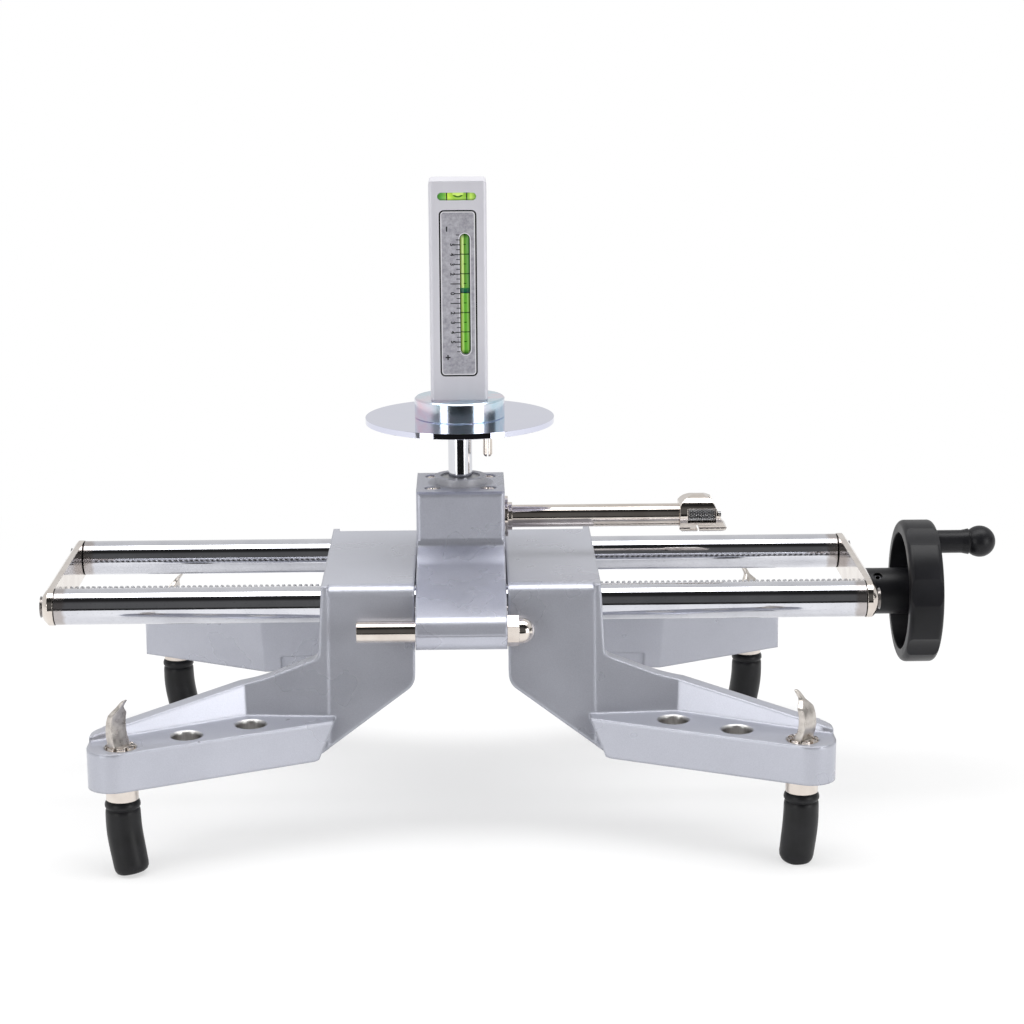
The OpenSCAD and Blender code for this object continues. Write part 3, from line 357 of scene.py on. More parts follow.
def hub_paint(g):
    """The same paint on the hub, with a few dark specks. Its top is faced flat round the
    spindle's cartridge."""
    grain = g.noise(1400, 3)
    peel = g.noise(260, 2)
    tone = g.noise(22, 3)
    color = shades(g, g.ramp(tone, 0.3, 0.7), (178, 180, 191), (187, 189, 200))
    color = g.mix(g.ramp(grain, 0.35, 0.65) * 0.25, color, linear((212, 214, 224)))
    speck = g.add("ShaderNodeTexVoronoi", inputs={
        "Vector": g.place(), "Scale": 38.0, "Randomness": 1.0})
    color = g.mix(speck < 0.022, color, linear((70, 66, 66)))
    x, y, z = g.axes()
    faced = (g.length(x, y) < 30.0) * (z > HUB_TOP - 0.2)
    edge = g.add("ShaderNodeMix", {"data_type": "VECTOR"}, {
        0: faced, 4: g.rounded(0.0028), 5: g.add("ShaderNodeNewGeometry", out="Normal")}, out=1)
    # the photograph's hollow under the block is larger than the solid's: the shading leans
    # back over it and below it, which makes up for part of its highlight
    lean = g.ramp(z, HOLLOW_TOP, HOLLOW_TOP - 7.0) * g.ramp(z, HOLLOW_TOP - 28.0, HOLLOW_TOP - 13.0)
    lean = lean * (y.absolute() > 20.0) * (x.absolute() < HUB_X - 1.0)
    facet = g.add("ShaderNodeCombineXYZ", inputs={
        "Y": y / y.absolute() * math.cos(FACET_LEAN), "Z": math.sin(FACET_LEAN)})
    edge = g.add("ShaderNodeMix", {"data_type": "VECTOR"}, {0: lean, 4: edge, 5: facet}, out=1)
    edge = g.add("ShaderNodeVectorMath", {"operation": "NORMALIZE"}, {0: edge})
    parting = g.band(z, PARTING_Z - 0.35, PARTING_Z + 0.35, 0.3) * (y < -60.0)
    return {"Base Color": g.mix(parting * 0.35, color, linear((120, 120, 128))), "Metallic": 0.58,
            "Roughness": g.ramp(tone, 0.3, 0.7, 0.25, 0.31),
            "Normal": g.bump((grain * 0.4 + peel) * 0.3 - parting, 0.3, 0.0005, edge)}


def chrome(g):
    """Hard chrome: a mirror with a faint haze and a few fine scratches along the part."""
    haze = g.noise(30, 3)
    lines = g.noise(900, 2, (0.02, 1, 1))
    return {"Base Color": shades(g, g.ramp(haze, 0.35, 0.65), (214, 215, 220), (226, 227, 231)),
            "Metallic": 1.0, "Roughness": g.ramp(haze, 0.3, 0.7, 0.04, 0.08),
            "Normal": g.bump(lines, 0.02, 0.0002)}


def tube_chrome(g):
    """Hard chrome on the guide tubes: rubbed brownish by the end plates, with painted shade where
    the tube meets the plate, and fine scratches along it."""
    haze = g.noise(30, 3)
    lines = g.noise(900, 2, (0.02, 1, 1))
    speckle = g.noise(1500, 2, (0.35, 1, 1))
    x, y, z = g.axes()
    x = x.absolute()
    color = shades(g, g.ramp(haze, 0.35, 0.65), (208, 209, 216), (222, 223, 229))
    wear_and_shade = g.ramp(x + g.noise(160, 3) * 5.0, 273.0, 276.0)
    color = g.mix(wear_and_shade * 0.5, color, linear((150, 132, 116)))
    color = g.mix(g.ramp(speckle, 0.62, 0.7) * 0.35, color, linear((160, 160, 168)))
    # painted shade: a dark band on the tube where it meets the plate
    gap = g.ramp(x, HALF - 0.75, HALF - 0.6)
    color = g.mix(gap, color, linear((20, 19, 19)))
    return {"Base Color": color, "Metallic": 1.0,
            "Roughness": g.ramp(haze, 0.3, 0.7, 0.05, 0.09) + wear_and_shade * 0.1 + gap * 0.4,
            "Normal": g.bump(lines, 0.02, 0.0002)}


def mirror_chrome(g):
    """Polished chrome, almost without haze."""
    haze = g.noise(40, 2)
    return {"Base Color": shades(g, haze, (218, 220, 238), (224, 226, 240)), "Metallic": 1.0,
            "Roughness": g.ramp(haze, 0.3, 0.7, 0.02, 0.04)}


def nickel(g):
    """Bright nickel plate with a warm tint and soft turning marks."""
    haze = g.noise(60, 3)
    return {"Base Color": shades(g, g.ramp(haze, 0.35, 0.65), (214, 204, 196), (228, 220, 212)),
            "Metallic": 1.0, "Roughness": g.ramp(haze, 0.3, 0.7, 0.07, 0.12),
            "Normal": g.bump(g.noise(700, 2), 0.03, 0.0002, g.rounded(0.0006))}


def zinc(g):
    """Bright zinc plate, passivated: pale cyan that drifts to pink and straw."""
    drift = g.noise(28, 2) * 0.7 + g.noise(120, 2) * 0.3
    color = g.colours(
        drift, (0.3, (178, 214, 230)), (0.45, (206, 224, 236)), (0.55, (222, 220, 232)),
        (0.66, (232, 210, 222)), (0.78, (226, 222, 204)))
    return {"Base Color": color, "Metallic": 1.0, "Roughness": 0.17,
            "Normal": g.bump(g.noise(700, 2, (1, 1, 0.05)), 0.03, 0.0002, g.rounded(0.0005))}


def steel(g):
    """Plain ground steel."""
    haze = g.noise(120, 3)
    return {"Base Color": shades(g, g.ramp(haze, 0.35, 0.65), (150, 150, 152), (172, 172, 174)),
            "Metallic": 1.0, "Roughness": g.ramp(haze, 0.3, 0.7, 0.28, 0.38),
            "Normal": g.bump(g.noise(900, 2), 0.05, 0.0002)}


def screw_steel(g):
    """Rolled thread: bright crests over roots darkened with painted shade; the roots are also
    rougher.
    """
    point = g.place()
    split = g.add("ShaderNodeSeparateXYZ", inputs={"Vector": point})
    y, z = split.part("Y"), split.part("Z") - SCREW_Z * MM
    radius = (y * y + z * z).power(0.5)
    # painted shade: darker towards the roots of the thread, lighter at the crests
    crest_share = g.ramp(radius, 0.0072, 0.0088)
    color = shades(g, crest_share, (84, 82, 80), (196, 196, 200))
    return {"Base Color": color, "Metallic": 1.0, "Roughness": g.ramp(crest_share, 0, 1, 0.42, 0.2),
            "Normal": g.bump(g.noise(900, 2), 0.04, 0.0002)}


def knurl_steel(g):
    """Knurled steel: painted shade darkens the grooves and the diamonds are lighter, by how pointed
    the surface is.
    """
    wear_and_shade = g.add("ShaderNodeNewGeometry", out="Pointiness")
    haze = g.noise(300, 2)
    # painted shade in the grooves, from the surface's pointiness
    color = shades(g, g.ramp(wear_and_shade, 0.46, 0.56), (58, 58, 60), (196, 196, 198))
    return {"Base Color": color, "Metallic": 1.0, "Roughness": g.ramp(haze, 0.3, 0.7, 0.24, 0.34)}


def nickel_forged(g):
    """Nickel plate over a forged skin: soft pits under a satin shine."""
    skin = g.noise(260, 3)
    fine = g.noise(1200, 2)
    color = shades(g, g.ramp(skin, 0.35, 0.65), (188, 182, 176), (212, 206, 200))
    return {"Base Color": color, "Metallic": 1.0, "Roughness": g.ramp(skin, 0.3, 0.7, 0.26, 0.36),
            "Normal": g.bump(skin * 0.7 + fine * 0.3, 0.25, 0.0004)}


def dark_steel(g):
    """Blackened steel of the small screws."""
    haze = g.noise(200, 3)
    return {"Base Color": shades(g, g.ramp(haze, 0.35, 0.65), (52, 52, 54), (72, 72, 76)),
            "Metallic": 0.9, "Roughness": 0.35, "Normal": g.bump(haze, 0.05, 0.0002)}


def gauge_aluminium(g):
    """Bead-blasted and anodised aluminium with a faint upright grain."""
    grain = g.noise(3000, 2)
    drawn = g.noise(260, 2, (1, 1, 0.05))
    tone = g.noise(25, 2)
    color = shades(g, g.ramp(tone, 0.3, 0.7), (206, 205, 212), (214, 213, 219))
    return {"Base Color": g.mix(drawn * 0.35, color, linear((196, 195, 203))),
            "Metallic": 0.2, "Roughness": g.ramp(grain, 0.3, 0.7, 0.36, 0.46),
            "Normal": g.bump(grain, 0.08, 0.0001, g.rounded(0.0014))}


def turned_aluminium(g):
    """Turned aluminium: fine rings round the spindle's axis."""
    x, y, z = g.axes()
    rings = g.add("ShaderNodeTexNoise", {"noise_dimensions": "1D"}, {
        "W": g.length(x, y) + z, "Scale": 4.0, "Detail": 3.0})
    return {"Base Color": shades(g, rings, (172, 173, 178), (206, 206, 210)),
            "Metallic": 0.4, "Roughness": g.ramp(rings, 0.3, 0.7, 0.42, 0.52),
            "Normal": g.bump(rings, 0.06, 0.0002)}


def bronze(g):
    """Turned bronze, from straw to brown."""
    tone = g.noise(60, 3)
    return {"Base Color": shades(g, g.ramp(tone, 0.3, 0.7), (168, 126, 76), (190, 148, 92)),
            "Metallic": 1.0, "Roughness": g.ramp(tone, 0.3, 0.7, 0.25, 0.35),
            "Normal": g.bump(g.noise(900, 2, (0.1, 1, 1)), 0.05, 0.0002)}


# gauge: the scale plate with its round corners and the lines of its painted edge highlight and
# painted gap shadow, measured inwards from its edge; the slot for the vial; zero and one degree of
# the scale; the level and its lines
PLATE_MID_Z = 363.4
PLATE_HALF = (13.0, 58.0)
PLATE_CORNER = 3.5
EDGE_HIGHLIGHT = (1.75, 1.1)
GAP_SHADOW = 1.1
SLOT = (4.7, 362.8)
SLOT_HALF = (3.4, 42.0)
ZERO_Z = 363.5
DEGREE = 6.775
LEVEL = (-0.5, 430.6)
LEVEL_HALF = 13.5
LEVEL_R = 2.7
LEVEL_LINE = 6.9
# painted glow: light that a vial emits, standing in for light passed on from behind
VIAL_GLOW = 0.22


def scale_paint(g):
    """Etched plate: mottled grey, with a black line of painted gap shadow and a light line of
    painted edge highlight round its border, and the same two lines, thinner, round the slot of the
    vial."""
    mottle = g.noise(420, 4, rough=0.65)
    clouds = g.noise(110, 2)
    x, y, z = g.axes()
    color = shades(g, g.ramp(mottle * 0.7 + clouds * 0.3, 0.36, 0.64),
                   (140, 139, 147), (180, 179, 186))
    # distances from the centres of the border's round corners and of the slot's round ends
    corner = [half - PLATE_CORNER for half in PLATE_HALF]
    rim = g.length((x.absolute() - corner[0]).most(0.0),
                   ((z - PLATE_MID_Z).absolute() - corner[1]).most(0.0))
    straight = SLOT_HALF[1] - SLOT_HALF[0]
    slot = g.length(x - SLOT[0], ((z - SLOT[1]).absolute() - straight).most(0.0))
    # painted highlight: a light line on the edge of the plate and of the vial's slot
    light = g.band(rim, PLATE_CORNER - EDGE_HIGHLIGHT[0], PLATE_CORNER - EDGE_HIGHLIGHT[1])
    light = light.most(g.band(slot, SLOT_HALF[0] + 0.2, SLOT_HALF[0] + 0.75))
    color = g.mix(light * 0.8, color, linear((236, 235, 238)))
    # painted shadow: a black line in the gap round the plate and at the edge of the slot
    dark = g.ramp(rim, PLATE_CORNER - GAP_SHADOW - 0.05, PLATE_CORNER - GAP_SHADOW + 0.05)
    dark = dark.most(g.ramp(slot, SLOT_HALF[0] + 0.3, SLOT_HALF[0] + 0.2))
    color = g.mix(dark, color, linear((16, 16, 20)))
    return {"Base Color": color, "Metallic": 0.15, "Roughness": 0.48,
            "Normal": g.bump(mottle, 0.1, 0.0001)}


def scale_ink(g):
    """Printed black ink, slightly uneven."""
    tone = g.noise(2500, 2)
    return {"Base Color": shades(g, tone, (14, 14, 17), (38, 38, 42)), "Roughness": 0.5}


def camber_liquid(g):
    """Green vial: a painted highlight stripe near its left side and painted shade at its edges and
    ends, a dark meniscus over zero, and marks at each degree, which go right across at every second
    one. It has a painted glow."""
    x, y, z = g.axes()
    across = (x - SLOT[0]) / (2 * SLOT_HALF[0]) + 0.5
    up = (z - ZERO_Z) / DEGREE
    # painted light across the vial, above and below zero: a painted highlight stripe near the left
    # side and painted shade at both edges
    above = g.colours(
        across, (0.0, (96, 92, 40)), (0.1, (128, 150, 70)), (0.2, (196, 226, 130)),
        (0.36, (186, 216, 120)), (0.44, (72, 122, 44)), (0.62, (98, 158, 58)),
        (0.8, (116, 176, 84)), (0.9, (66, 132, 52)), (1.0, (48, 84, 40)))
    below = g.colours(
        across, (0.0, (66, 76, 30)), (0.1, (132, 160, 60)), (0.2, (184, 216, 104)),
        (0.34, (128, 186, 70)), (0.46, (84, 148, 50)), (0.66, (104, 172, 56)),
        (0.8, (150, 208, 96)), (0.9, (86, 120, 46)), (1.0, (56, 78, 32)))
    color = g.mix(up > 0.0, below, above)
    meniscus = g.colours(g.ramp(up, 0.0, 0.6), (0.0, (10, 44, 32)), (0.25, (18, 82, 60)),
                         (0.75, (34, 104, 62)), (1.0, (72, 140, 60)))
    color = g.mix(g.band(up, 0.0, 0.55, 0.03), color, meniscus)
    whole = ((up + 0.5).fraction() - 0.5).absolute() < 0.055
    even = ((up * 0.5 + 0.5).fraction() - 0.5).absolute() < 0.03
    short = whole * g.band(across, 0.38, 0.62, 0.03)
    mark = short.most(even) * (up.absolute() < 5.4) * (up.absolute() > 0.5)
    color = g.mix(mark * 0.8, color, linear((24, 44, 18)))
    # painted shade at the vial's rounded ends
    ends = g.ramp(((z - SLOT[1]).absolute()), SLOT_HALF[1] - 3.2, SLOT_HALF[1] - 0.6)
    color = g.mix(ends * 0.8, color, linear((22, 50, 22)))
    # painted glow: the vial emits its own colour
    return {"Base Color": color, "Roughness": 0.12,
            "Coat Weight": g.ramp(across, 0.0, 1.0, 0.5, 0.6),
            "Emission Color": color, "Emission Strength": VIAL_GLOW}


def level_liquid(g):
    """Yellow-green vial between two black lines, with a bubble under its top; painted highlight
    stripes, painted shade at its edges and towards its bottom, and a painted glow.
    """
    x, y, z = g.axes()
    u = x - LEVEL[0]
    # painted light across the vial: painted highlight stripes and painted shade at its edges
    color = g.colours(
        (u + LEVEL_HALF) / (2 * LEVEL_HALF), (0.0, (60, 120, 40)), (0.12, (92, 160, 66)),
        (0.2, (120, 180, 70)), (0.28, (196, 226, 84)), (0.42, (150, 196, 60)),
        (0.6, (158, 200, 74)), (0.78, (126, 176, 62)), (0.86, (188, 220, 100)),
        (1.0, (104, 158, 58)))
    height = (z - LEVEL[1]) / LEVEL_R
    # painted shade towards the bottom of the vial
    color = g.mix(g.ramp(height, -0.5, -1.1) * 0.6, color, linear((74, 118, 36)))
    bubble = g.length((u - 0.8) / 4.2, (height - 0.9) / 1.25)
    color = g.mix(g.ramp(bubble, 1.0, 0.8), color, linear((206, 234, 120)))
    color = g.mix(g.band(bubble, 0.66, 0.92, 0.08) * (height < 0.35), color, linear((58, 104, 34)))
    line = g.band((u.absolute() - LEVEL_LINE).absolute(), -1.0, 0.35, 0.08)
    color = g.mix(line, color, linear((18, 34, 14)))
    # painted glow: the vial emits its own colour
    return {"Base Color": color, "Roughness": 0.12,
            "Coat Weight": g.ramp(height, -1.0, 1.0, 0.5, 0.6),
            "Emission Color": color, "Emission Strength": VIAL_GLOW}


def rubber(g):
    """Moulded black rubber with a faint bloom."""
    bloom = g.noise(90, 3)
    return {"Base Color": shades(g, g.ramp(bloom, 0.35, 0.7), (14, 14, 16), (25, 25, 28)),
            "Roughness": g.ramp(bloom, 0.3, 0.7, 0.34, 0.46), "Specular IOR Level": 0.3,
            "Normal": g.bump(g.noise(1800, 3), 0.08, 0.0002)}


def black_plastic(g):
    """Fine-grained black plastic."""
    grain = g.noise(2200, 2)
    tone = g.noise(40, 3)
    return {"Base Color": shades(g, g.ramp(tone, 0.3, 0.7), (17, 17, 20), (26, 26, 30)),
            "Roughness": g.ramp(tone, 0.3, 0.7, 0.34, 0.44), "Specular IOR Level": 0.26,
            "Normal": g.bump(grain, 0.15, 0.0002, g.rounded(0.0012))}


# ---- settings ------------------------------------------------------------------------
class StageSettings(bpy.types.PropertyGroup):
    lens: bpy.props.FloatProperty(
        name="Lens", description="Focal length of the camera", default=87.99)
    key: bpy.props.FloatProperty(
        name="Overhead light", description="Power of the softbox above",
        default=33.0, unit="POWER")
    sides: bpy.props.FloatProperty(
        name="Side light", description="Power of the softbox on the left",
        default=15.0, unit="POWER")


class ScrewSettings(bpy.types.PropertyGroup):
    pitch: bpy.props.FloatProperty(
        name="Pitch", description="Travel of a slider in one turn of the screw",
        default=0.004, subtype="DISTANCE", unit="LENGTH")


class ScaleSettings(bpy.types.PropertyGroup):
    figure: bpy.props.FloatProperty(
        name="Figures", description="Size of the numbers, in millimetres", default=4.0)
    figure_at: bpy.props.FloatProperty(
        name="Place", description="Middle of the numbers across the plate", default=-4.1)
    long_tick: bpy.props.FloatProperty(
        name="Long ticks", description="Left end of a whole degree's tick", default=-2.5)
    short_tick: bpy.props.FloatProperty(
        name="Short ticks", description="Left end of a half degree's tick", default=-1.3)


# ---- operators -----------------------------------------------------------------------
def area_light(name, place, aim, size, power):
    """Softbox that the camera doesn't see, turned to a point."""
    data = bpy.data.lights.new(name, "AREA")
    data.shape = "RECTANGLE"
    data.size, data.size_y = size
    data.energy = power
    lamp = bpy.data.objects.new(name, data)
    lamp.location = place
    lamp.visible_camera = False
    lamp.rotation_euler = (Vector(aim) - Vector(place)).to_track_quat("-Z", "Y").to_euler()
    bpy.context.scene.collection.objects.link(lamp)


def sheet(name, low, high):
    """Flat rectangle at height zero between two corners."""
    (x0, y0), (x1, y1) = low, high
    mesh = bpy.data.meshes.new(name)
    mesh.from_pydata([(x0, y0, 0), (x1, y0, 0), (x1, y1, 0), (x0, y1, 0)], [], [(0, 1, 2, 3)])
    ob = bpy.data.objects.new(name, mesh)
    bpy.context.scene.collection.objects.link(ob)
    return ob


# camera: heading, pitch and roll in degrees, and its place in metres
CAMERA_TURN = (0.98, 12.97, 0.34)
CAMERA_AT = (0.00677, -1.73912, 0.60492)


class GAUGE_OT_stage(bpy.types.Operator):
    """Floor, soft light and the camera"""

    bl_idname = "gauge.stage"
    bl_label = "Stage"

    def execute(self, context):
        scene = context.scene
        settings = scene.gauge_stage
        scene.view_settings.view_transform = "Standard"
        # camera: forward, right and up vectors from heading, pitch and roll
        yaw, pitch, roll = (math.radians(a) for a in CAMERA_TURN)
        flat = math.cos(pitch)
        ahead = Vector((math.sin(yaw) * flat, math.cos(yaw) * flat, -math.sin(pitch)))
        right = ahead.cross(Vector((0, 0, 1))).normalized()
        up = right.cross(ahead)
        right, up = (right * math.cos(roll) - up * math.sin(roll),
                     up * math.cos(roll) + right * math.sin(roll))
        data = bpy.data.cameras.new("camera")
        data.lens = settings.lens
        data.sensor_width = 36
        data.sensor_fit = "HORIZONTAL"
        camera = bpy.data.objects.new("camera", data)
        camera.matrix_world = Matrix.Translation(CAMERA_AT) @ Matrix(
            (right, up, -ahead)).transposed().to_4x4()
        scene.collection.objects.link(camera)
        scene.camera = camera
        # floor: matt grey that takes the shadow, mixed for the camera and for mirrors with an
        # even white that grows with the distance
        floor = sheet("floor", (-6, -0.85), (6, 8))
        mat = bpy.data.materials.new("floor")
        mat.use_nodes = True
        g = Graph(mat.node_tree)
        far = g.add("ShaderNodeVectorMath", {"operation": "LENGTH"}, {0: g.place()}, out="Value")
        path = g.add("ShaderNodeLightPath", out="Is Camera Ray")
        seen = path.most(path.part("Is Glossy Ray")).most(path.part("Is Transmission Ray"))
        diffuse = g.add("ShaderNodeBsdfDiffuse", inputs={"Color": (0.9, 0.9, 0.9, 1)})
        white = g.add("ShaderNodeEmission", inputs={"Color": (1, 1, 1, 1), "Strength": 1.0})
        shown = path * g.ramp(far, 0.3, 1.0, 0.6, 1.0)
        mirrored = (1 - path) * g.ramp(far, 0.12, 0.45, 0.2, 0.6)
        shader = g.add("ShaderNodeMixShader", inputs={
            0: seen * (shown + mirrored), 1: diffuse, 2: white})
        g.add("ShaderNodeOutputMaterial", inputs={"Surface": shader})
        floor.data.materials.append(mat)
        # world: white to the camera, bright behind the clamp and dim in front of it. The dim
        # part is what chrome shows as dark bands; it is brighter for diffuse rays, as a fill
        world = bpy.data.worlds.new("studio")
        scene.world = world
        world.use_nodes = True
        g = Graph(world.node_tree)
        split = g.add("ShaderNodeSeparateXYZ", inputs={
            "Vector": g.add("ShaderNodeTexCoord", out="Generated")})
        ahead, aside, up = 0 - split.part("Y"), split.part("X"), split.part("Z")
        front = g.ramp(ahead, 0.12, 0.36)
        dim = g.ramp(ahead, 0.66, 0.82, 0.02, 0.11) * g.ramp(up, -0.08, 0.06, 0.1, 1.0)
        dim = dim + g.ramp(aside.absolute(), 0.6, 0.9, 0.0, 0.3)
        path = g.add("ShaderNodeLightPath", out="Is Camera Ray")
        level = ((1 - front) * 0.75 + front * dim) * g.ramp(aside, 0.94, 0.965, 1.0, 0.12)
        level = level + front * path.part("Is Diffuse Ray") * 0.32
        sky = g.add("ShaderNodeBackground", inputs={"Color": (1, 1, 1, 1), "Strength": level})
        white = g.add("ShaderNodeBackground", inputs={"Color": (1, 1, 1, 1), "Strength": 1.0})
        mixed = g.add("ShaderNodeMixShader", inputs={
            0: path.most(path.part("Is Transmission Ray")), 1: sky, 2: white})
        g.add("ShaderNodeOutputWorld", inputs={"Surface": mixed})
        # softboxes: place, point that they face, width and height in metres, power
        area_light("overhead", (0, -0.13, 1.9), (0, -0.13, 0), (2.8, 1.0), settings.key)
        aim = (0, 0, 0.2)
        area_light("front left", (-1.65, -1.95, 0.35), aim, (0.75, 1.8), settings.sides)
        area_light("front right", (1.95, -1.65, 0.35), aim, (1.15, 1.8), settings.sides * 1.5)
        return {"FINISHED"}


CORNERS = ("front_left", "front_right", "rear_left", "rear_right")
# each finish with the CAD nodes that have it
FINISHES = (
    (cast_paint, "left_slider", "right_slider"),
    (hub_paint, "centre_hub"),
    (tube_chrome, "front_tube", "rear_tube"),
    (chrome, "lead_screw", "spindle"),
    (mirror_chrome, "gauge_disc"),
    (nickel, "left_end_plate", "right_end_plate", "long_rod", "rod_flange", "rod_head",
     "rod_jaw", "short_rod", "acorn_nut", "disc_pin",
     *("claw_" + corner for corner in CORNERS), *("claw_ring_" + corner for corner in CORNERS)),
    (zinc, "gauge_foot"),
    (steel, "tube_plugs", "plate_screws", "disc_screw", "gauge_stud", "knurl_pin", "knurled_roller",
     "thrust_ring", "crank_pin", "spindle_bearings"),
    (dark_steel, "hub_grub_screws", "cartridge_screws", "wheel_grub_screw"),
    (gauge_aluminium, "gauge_body"),
    (turned_aluminium, "spindle_cartridge"),
    (bronze, "screw_bushes", "left_guide_bushes", "right_guide_bushes", "left_lead_nut",
     "right_lead_nut"),
    (scale_paint, "scale_plate"),
    (camber_liquid, "camber_vial"),
    (level_liquid, "level_vial"),
    (rubber, *("sleeve_" + corner for corner in CORNERS)),
    (black_plastic, "handwheel", "crank_handle"),
)


class GAUGE_OT_finishes(bpy.types.Operator):
    """Paint, plate and rubber on the pieces of the clamp"""

    bl_idname = "gauge.finishes"
    bl_label = "Finishes"

    def execute(self, context):
        for build, *names in FINISHES:
            dress(material(build), *names)
        return {"FINISHED"}


def thread_rows(x0, x1, pitch, root, crest, hand, count):
    """Rows of a trapezoidal thread from x0 to x1. Each pitch has a root, a flank, a crest
    and a flank; a row stands at its share of the pitch, moved on by a whole pitch in one
    turn, to the left or to the right."""
    share = np.array([0.0, 0.366, 0.5, 0.866])
    radius = np.array([root, root, crest, crest])
    n = int((x1 - x0) / pitch) + 3
    base = ((np.arange(n)[:, None] + share).ravel() - 1) * pitch + x0
    a = turns(count)
    x = np.clip(base[:, None] + hand * pitch * (a - math.pi) / (2 * math.pi), x0, x1)
    return x, np.repeat(np.tile(radius, n)[:, None], count, 1)


# lead screw: radii at its crests, inside the hub and at its ends, chamfer of the ends,
# depth of the thread as a share of its pitch, and the gap that keeps it off the end plates
CREST_R = 9.0
PLAIN_R = 8.0
JOURNAL_R = 6.0
CHAMFER = 0.6
THREAD_DEPTH = 0.55
PLATE_GAP = 0.05


class GAUGE_OT_screw(bpy.types.Operator):
    """Lead screw with a left-hand and a right-hand half"""

    bl_idname = "gauge.screw"
    bl_label = "Lead screw"

    def execute(self, context):
        count = 60
        pitch = context.scene.gauge_screw.pitch / MM
        root = CREST_R - THREAD_DEPTH * pitch
        first, last = frame_end("lead_screw")
        inner = HALF - PLATE_GAP

        def plain(x, r):
            """One row, round the axis at x."""
            return np.full((1, count), x), np.full((1, count), r)

        rows = [plain(first, JOURNAL_R - CHAMFER), plain(first + CHAMFER, JOURNAL_R),
                plain(-inner, JOURNAL_R),
                thread_rows(-inner, -HUB_X, pitch, root, CREST_R, -1, count),
                plain(-HUB_X, PLAIN_R), plain(HUB_X, PLAIN_R),
                thread_rows(HUB_X, inner, pitch, root, CREST_R, 1, count),
                plain(inner, JOURNAL_R), plain(last - CHAMFER, JOURNAL_R),
                plain(last, JOURNAL_R - CHAMFER)]
        x, r = (np.concatenate(part) for part in zip(*rows))
        a = turns(count)
        points = np.stack([x, r * np.cos(a), r * np.sin(a) + SCREW_Z], -1)
        add_piece("lead_screw_thread", tube(points), material(screw_steel), "lead_screw",
                  ("lead_screw",))
        return {"FINISHED"}


def frame_end(node):
    """Lowest and highest x of a CAD node, in millimetres."""
    low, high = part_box(node)
    return low[0] / MM, high[0] / MM


def wave(t):
    """Nought at whole numbers and one midway between them, with straight flanks."""
    return np.abs(t - np.round(t)) * 2


class GAUGE_OT_roller(bpy.types.Operator):
    """Knurled roller in the head of the long rod"""

    bl_idname = "gauge.roller"
    bl_label = "Knurled roller"

    def execute(self, context):
        x0, x1 = frame_end("knurled_roller")
        low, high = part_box("knurled_roller")
        y, z = (low[1] + high[1]) / 2 / MM, (low[2] + high[2]) / 2 / MM
        rows, count = 96, 144
        around, pitch, depth, radius, bore_r = 24, 1.25, 0.5, 5.0, 2.05
        flank, chamfer, chamfer_len = 1.35, 0.6, 0.7
        u = np.linspace(0, 1, rows)[:, None] * (x1 - x0)
        a = turns(count)[None, :]
        # a diamond of the knurl is highest where both families of grooves are far away
        one = wave(a * around / (2 * math.pi) + u / (2 * pitch))
        two = wave(a * around / (2 * math.pi) - u / (2 * pitch))
        edge = np.minimum(1, np.minimum(u, x1 - x0 - u) / chamfer_len)
        r = (radius - depth * np.clip(1 - flank * np.minimum(one, two), 0, 1)
             - chamfer * (1 - edge))

        def circle(x, r):
            """Points round the roller's axis, for each row of x and r."""
            return np.stack([x + 0 * a, y + r * np.cos(a), z + r * np.sin(a)], -1)

        bore = np.full((1, 1), bore_r)
        loop = np.concatenate([circle(np.full((1, 1), x0), bore), circle(u + x0, r),
                               circle(np.full((1, 1), x1), bore)])
        add_piece("roller_knurl", (loop.reshape(-1, 3), ring_faces(len(loop), count)),
                  material(knurl_steel), "roller", ("knurled_roller",), smooth=20)
        return {"FINISHED"}


def text_part(word, size, thick):
    """Closed shell of a short text about its middle, in millimetres: the letters' outline
    in x and y, pushed to both sides of z = 0."""
    curve = bpy.data.curves.new("letters", "FONT")
    curve.body, curve.size, curve.extrude = word, size, thick / 2
    curve.offset = 0.035 * size
    curve.align_x, curve.align_y, curve.resolution_u = "CENTER", "CENTER", 3
    holder = bpy.data.objects.new("letters", curve)
    mesh = bpy.data.meshes.new_from_object(holder)
    shell = bmesh.new()
    shell.from_mesh(mesh)
    bmesh.ops.remove_doubles(shell, verts=shell.verts, dist=1e-5)
    bmesh.ops.recalc_face_normals(shell, faces=shell.faces)
    points = np.array([v.co[:] for v in shell.verts])
    faces = [[v.index for v in face.verts] for face in shell.faces]
    shell.free()
    bpy.data.objects.remove(holder)
    bpy.data.curves.remove(curve)
    bpy.data.meshes.remove(mesh)
    return points, faces


def slab(low, high):
    """Shell of an upright strip between two corners."""
    (x0, y0, z0), (x1, y1, z1) = low, high
    corners = [(x0, y0), (x1, y0), (x1, y1), (x0, y1)]
    return tube([[(x, y, z) for x, y in corners] for z in (z0, z1)])


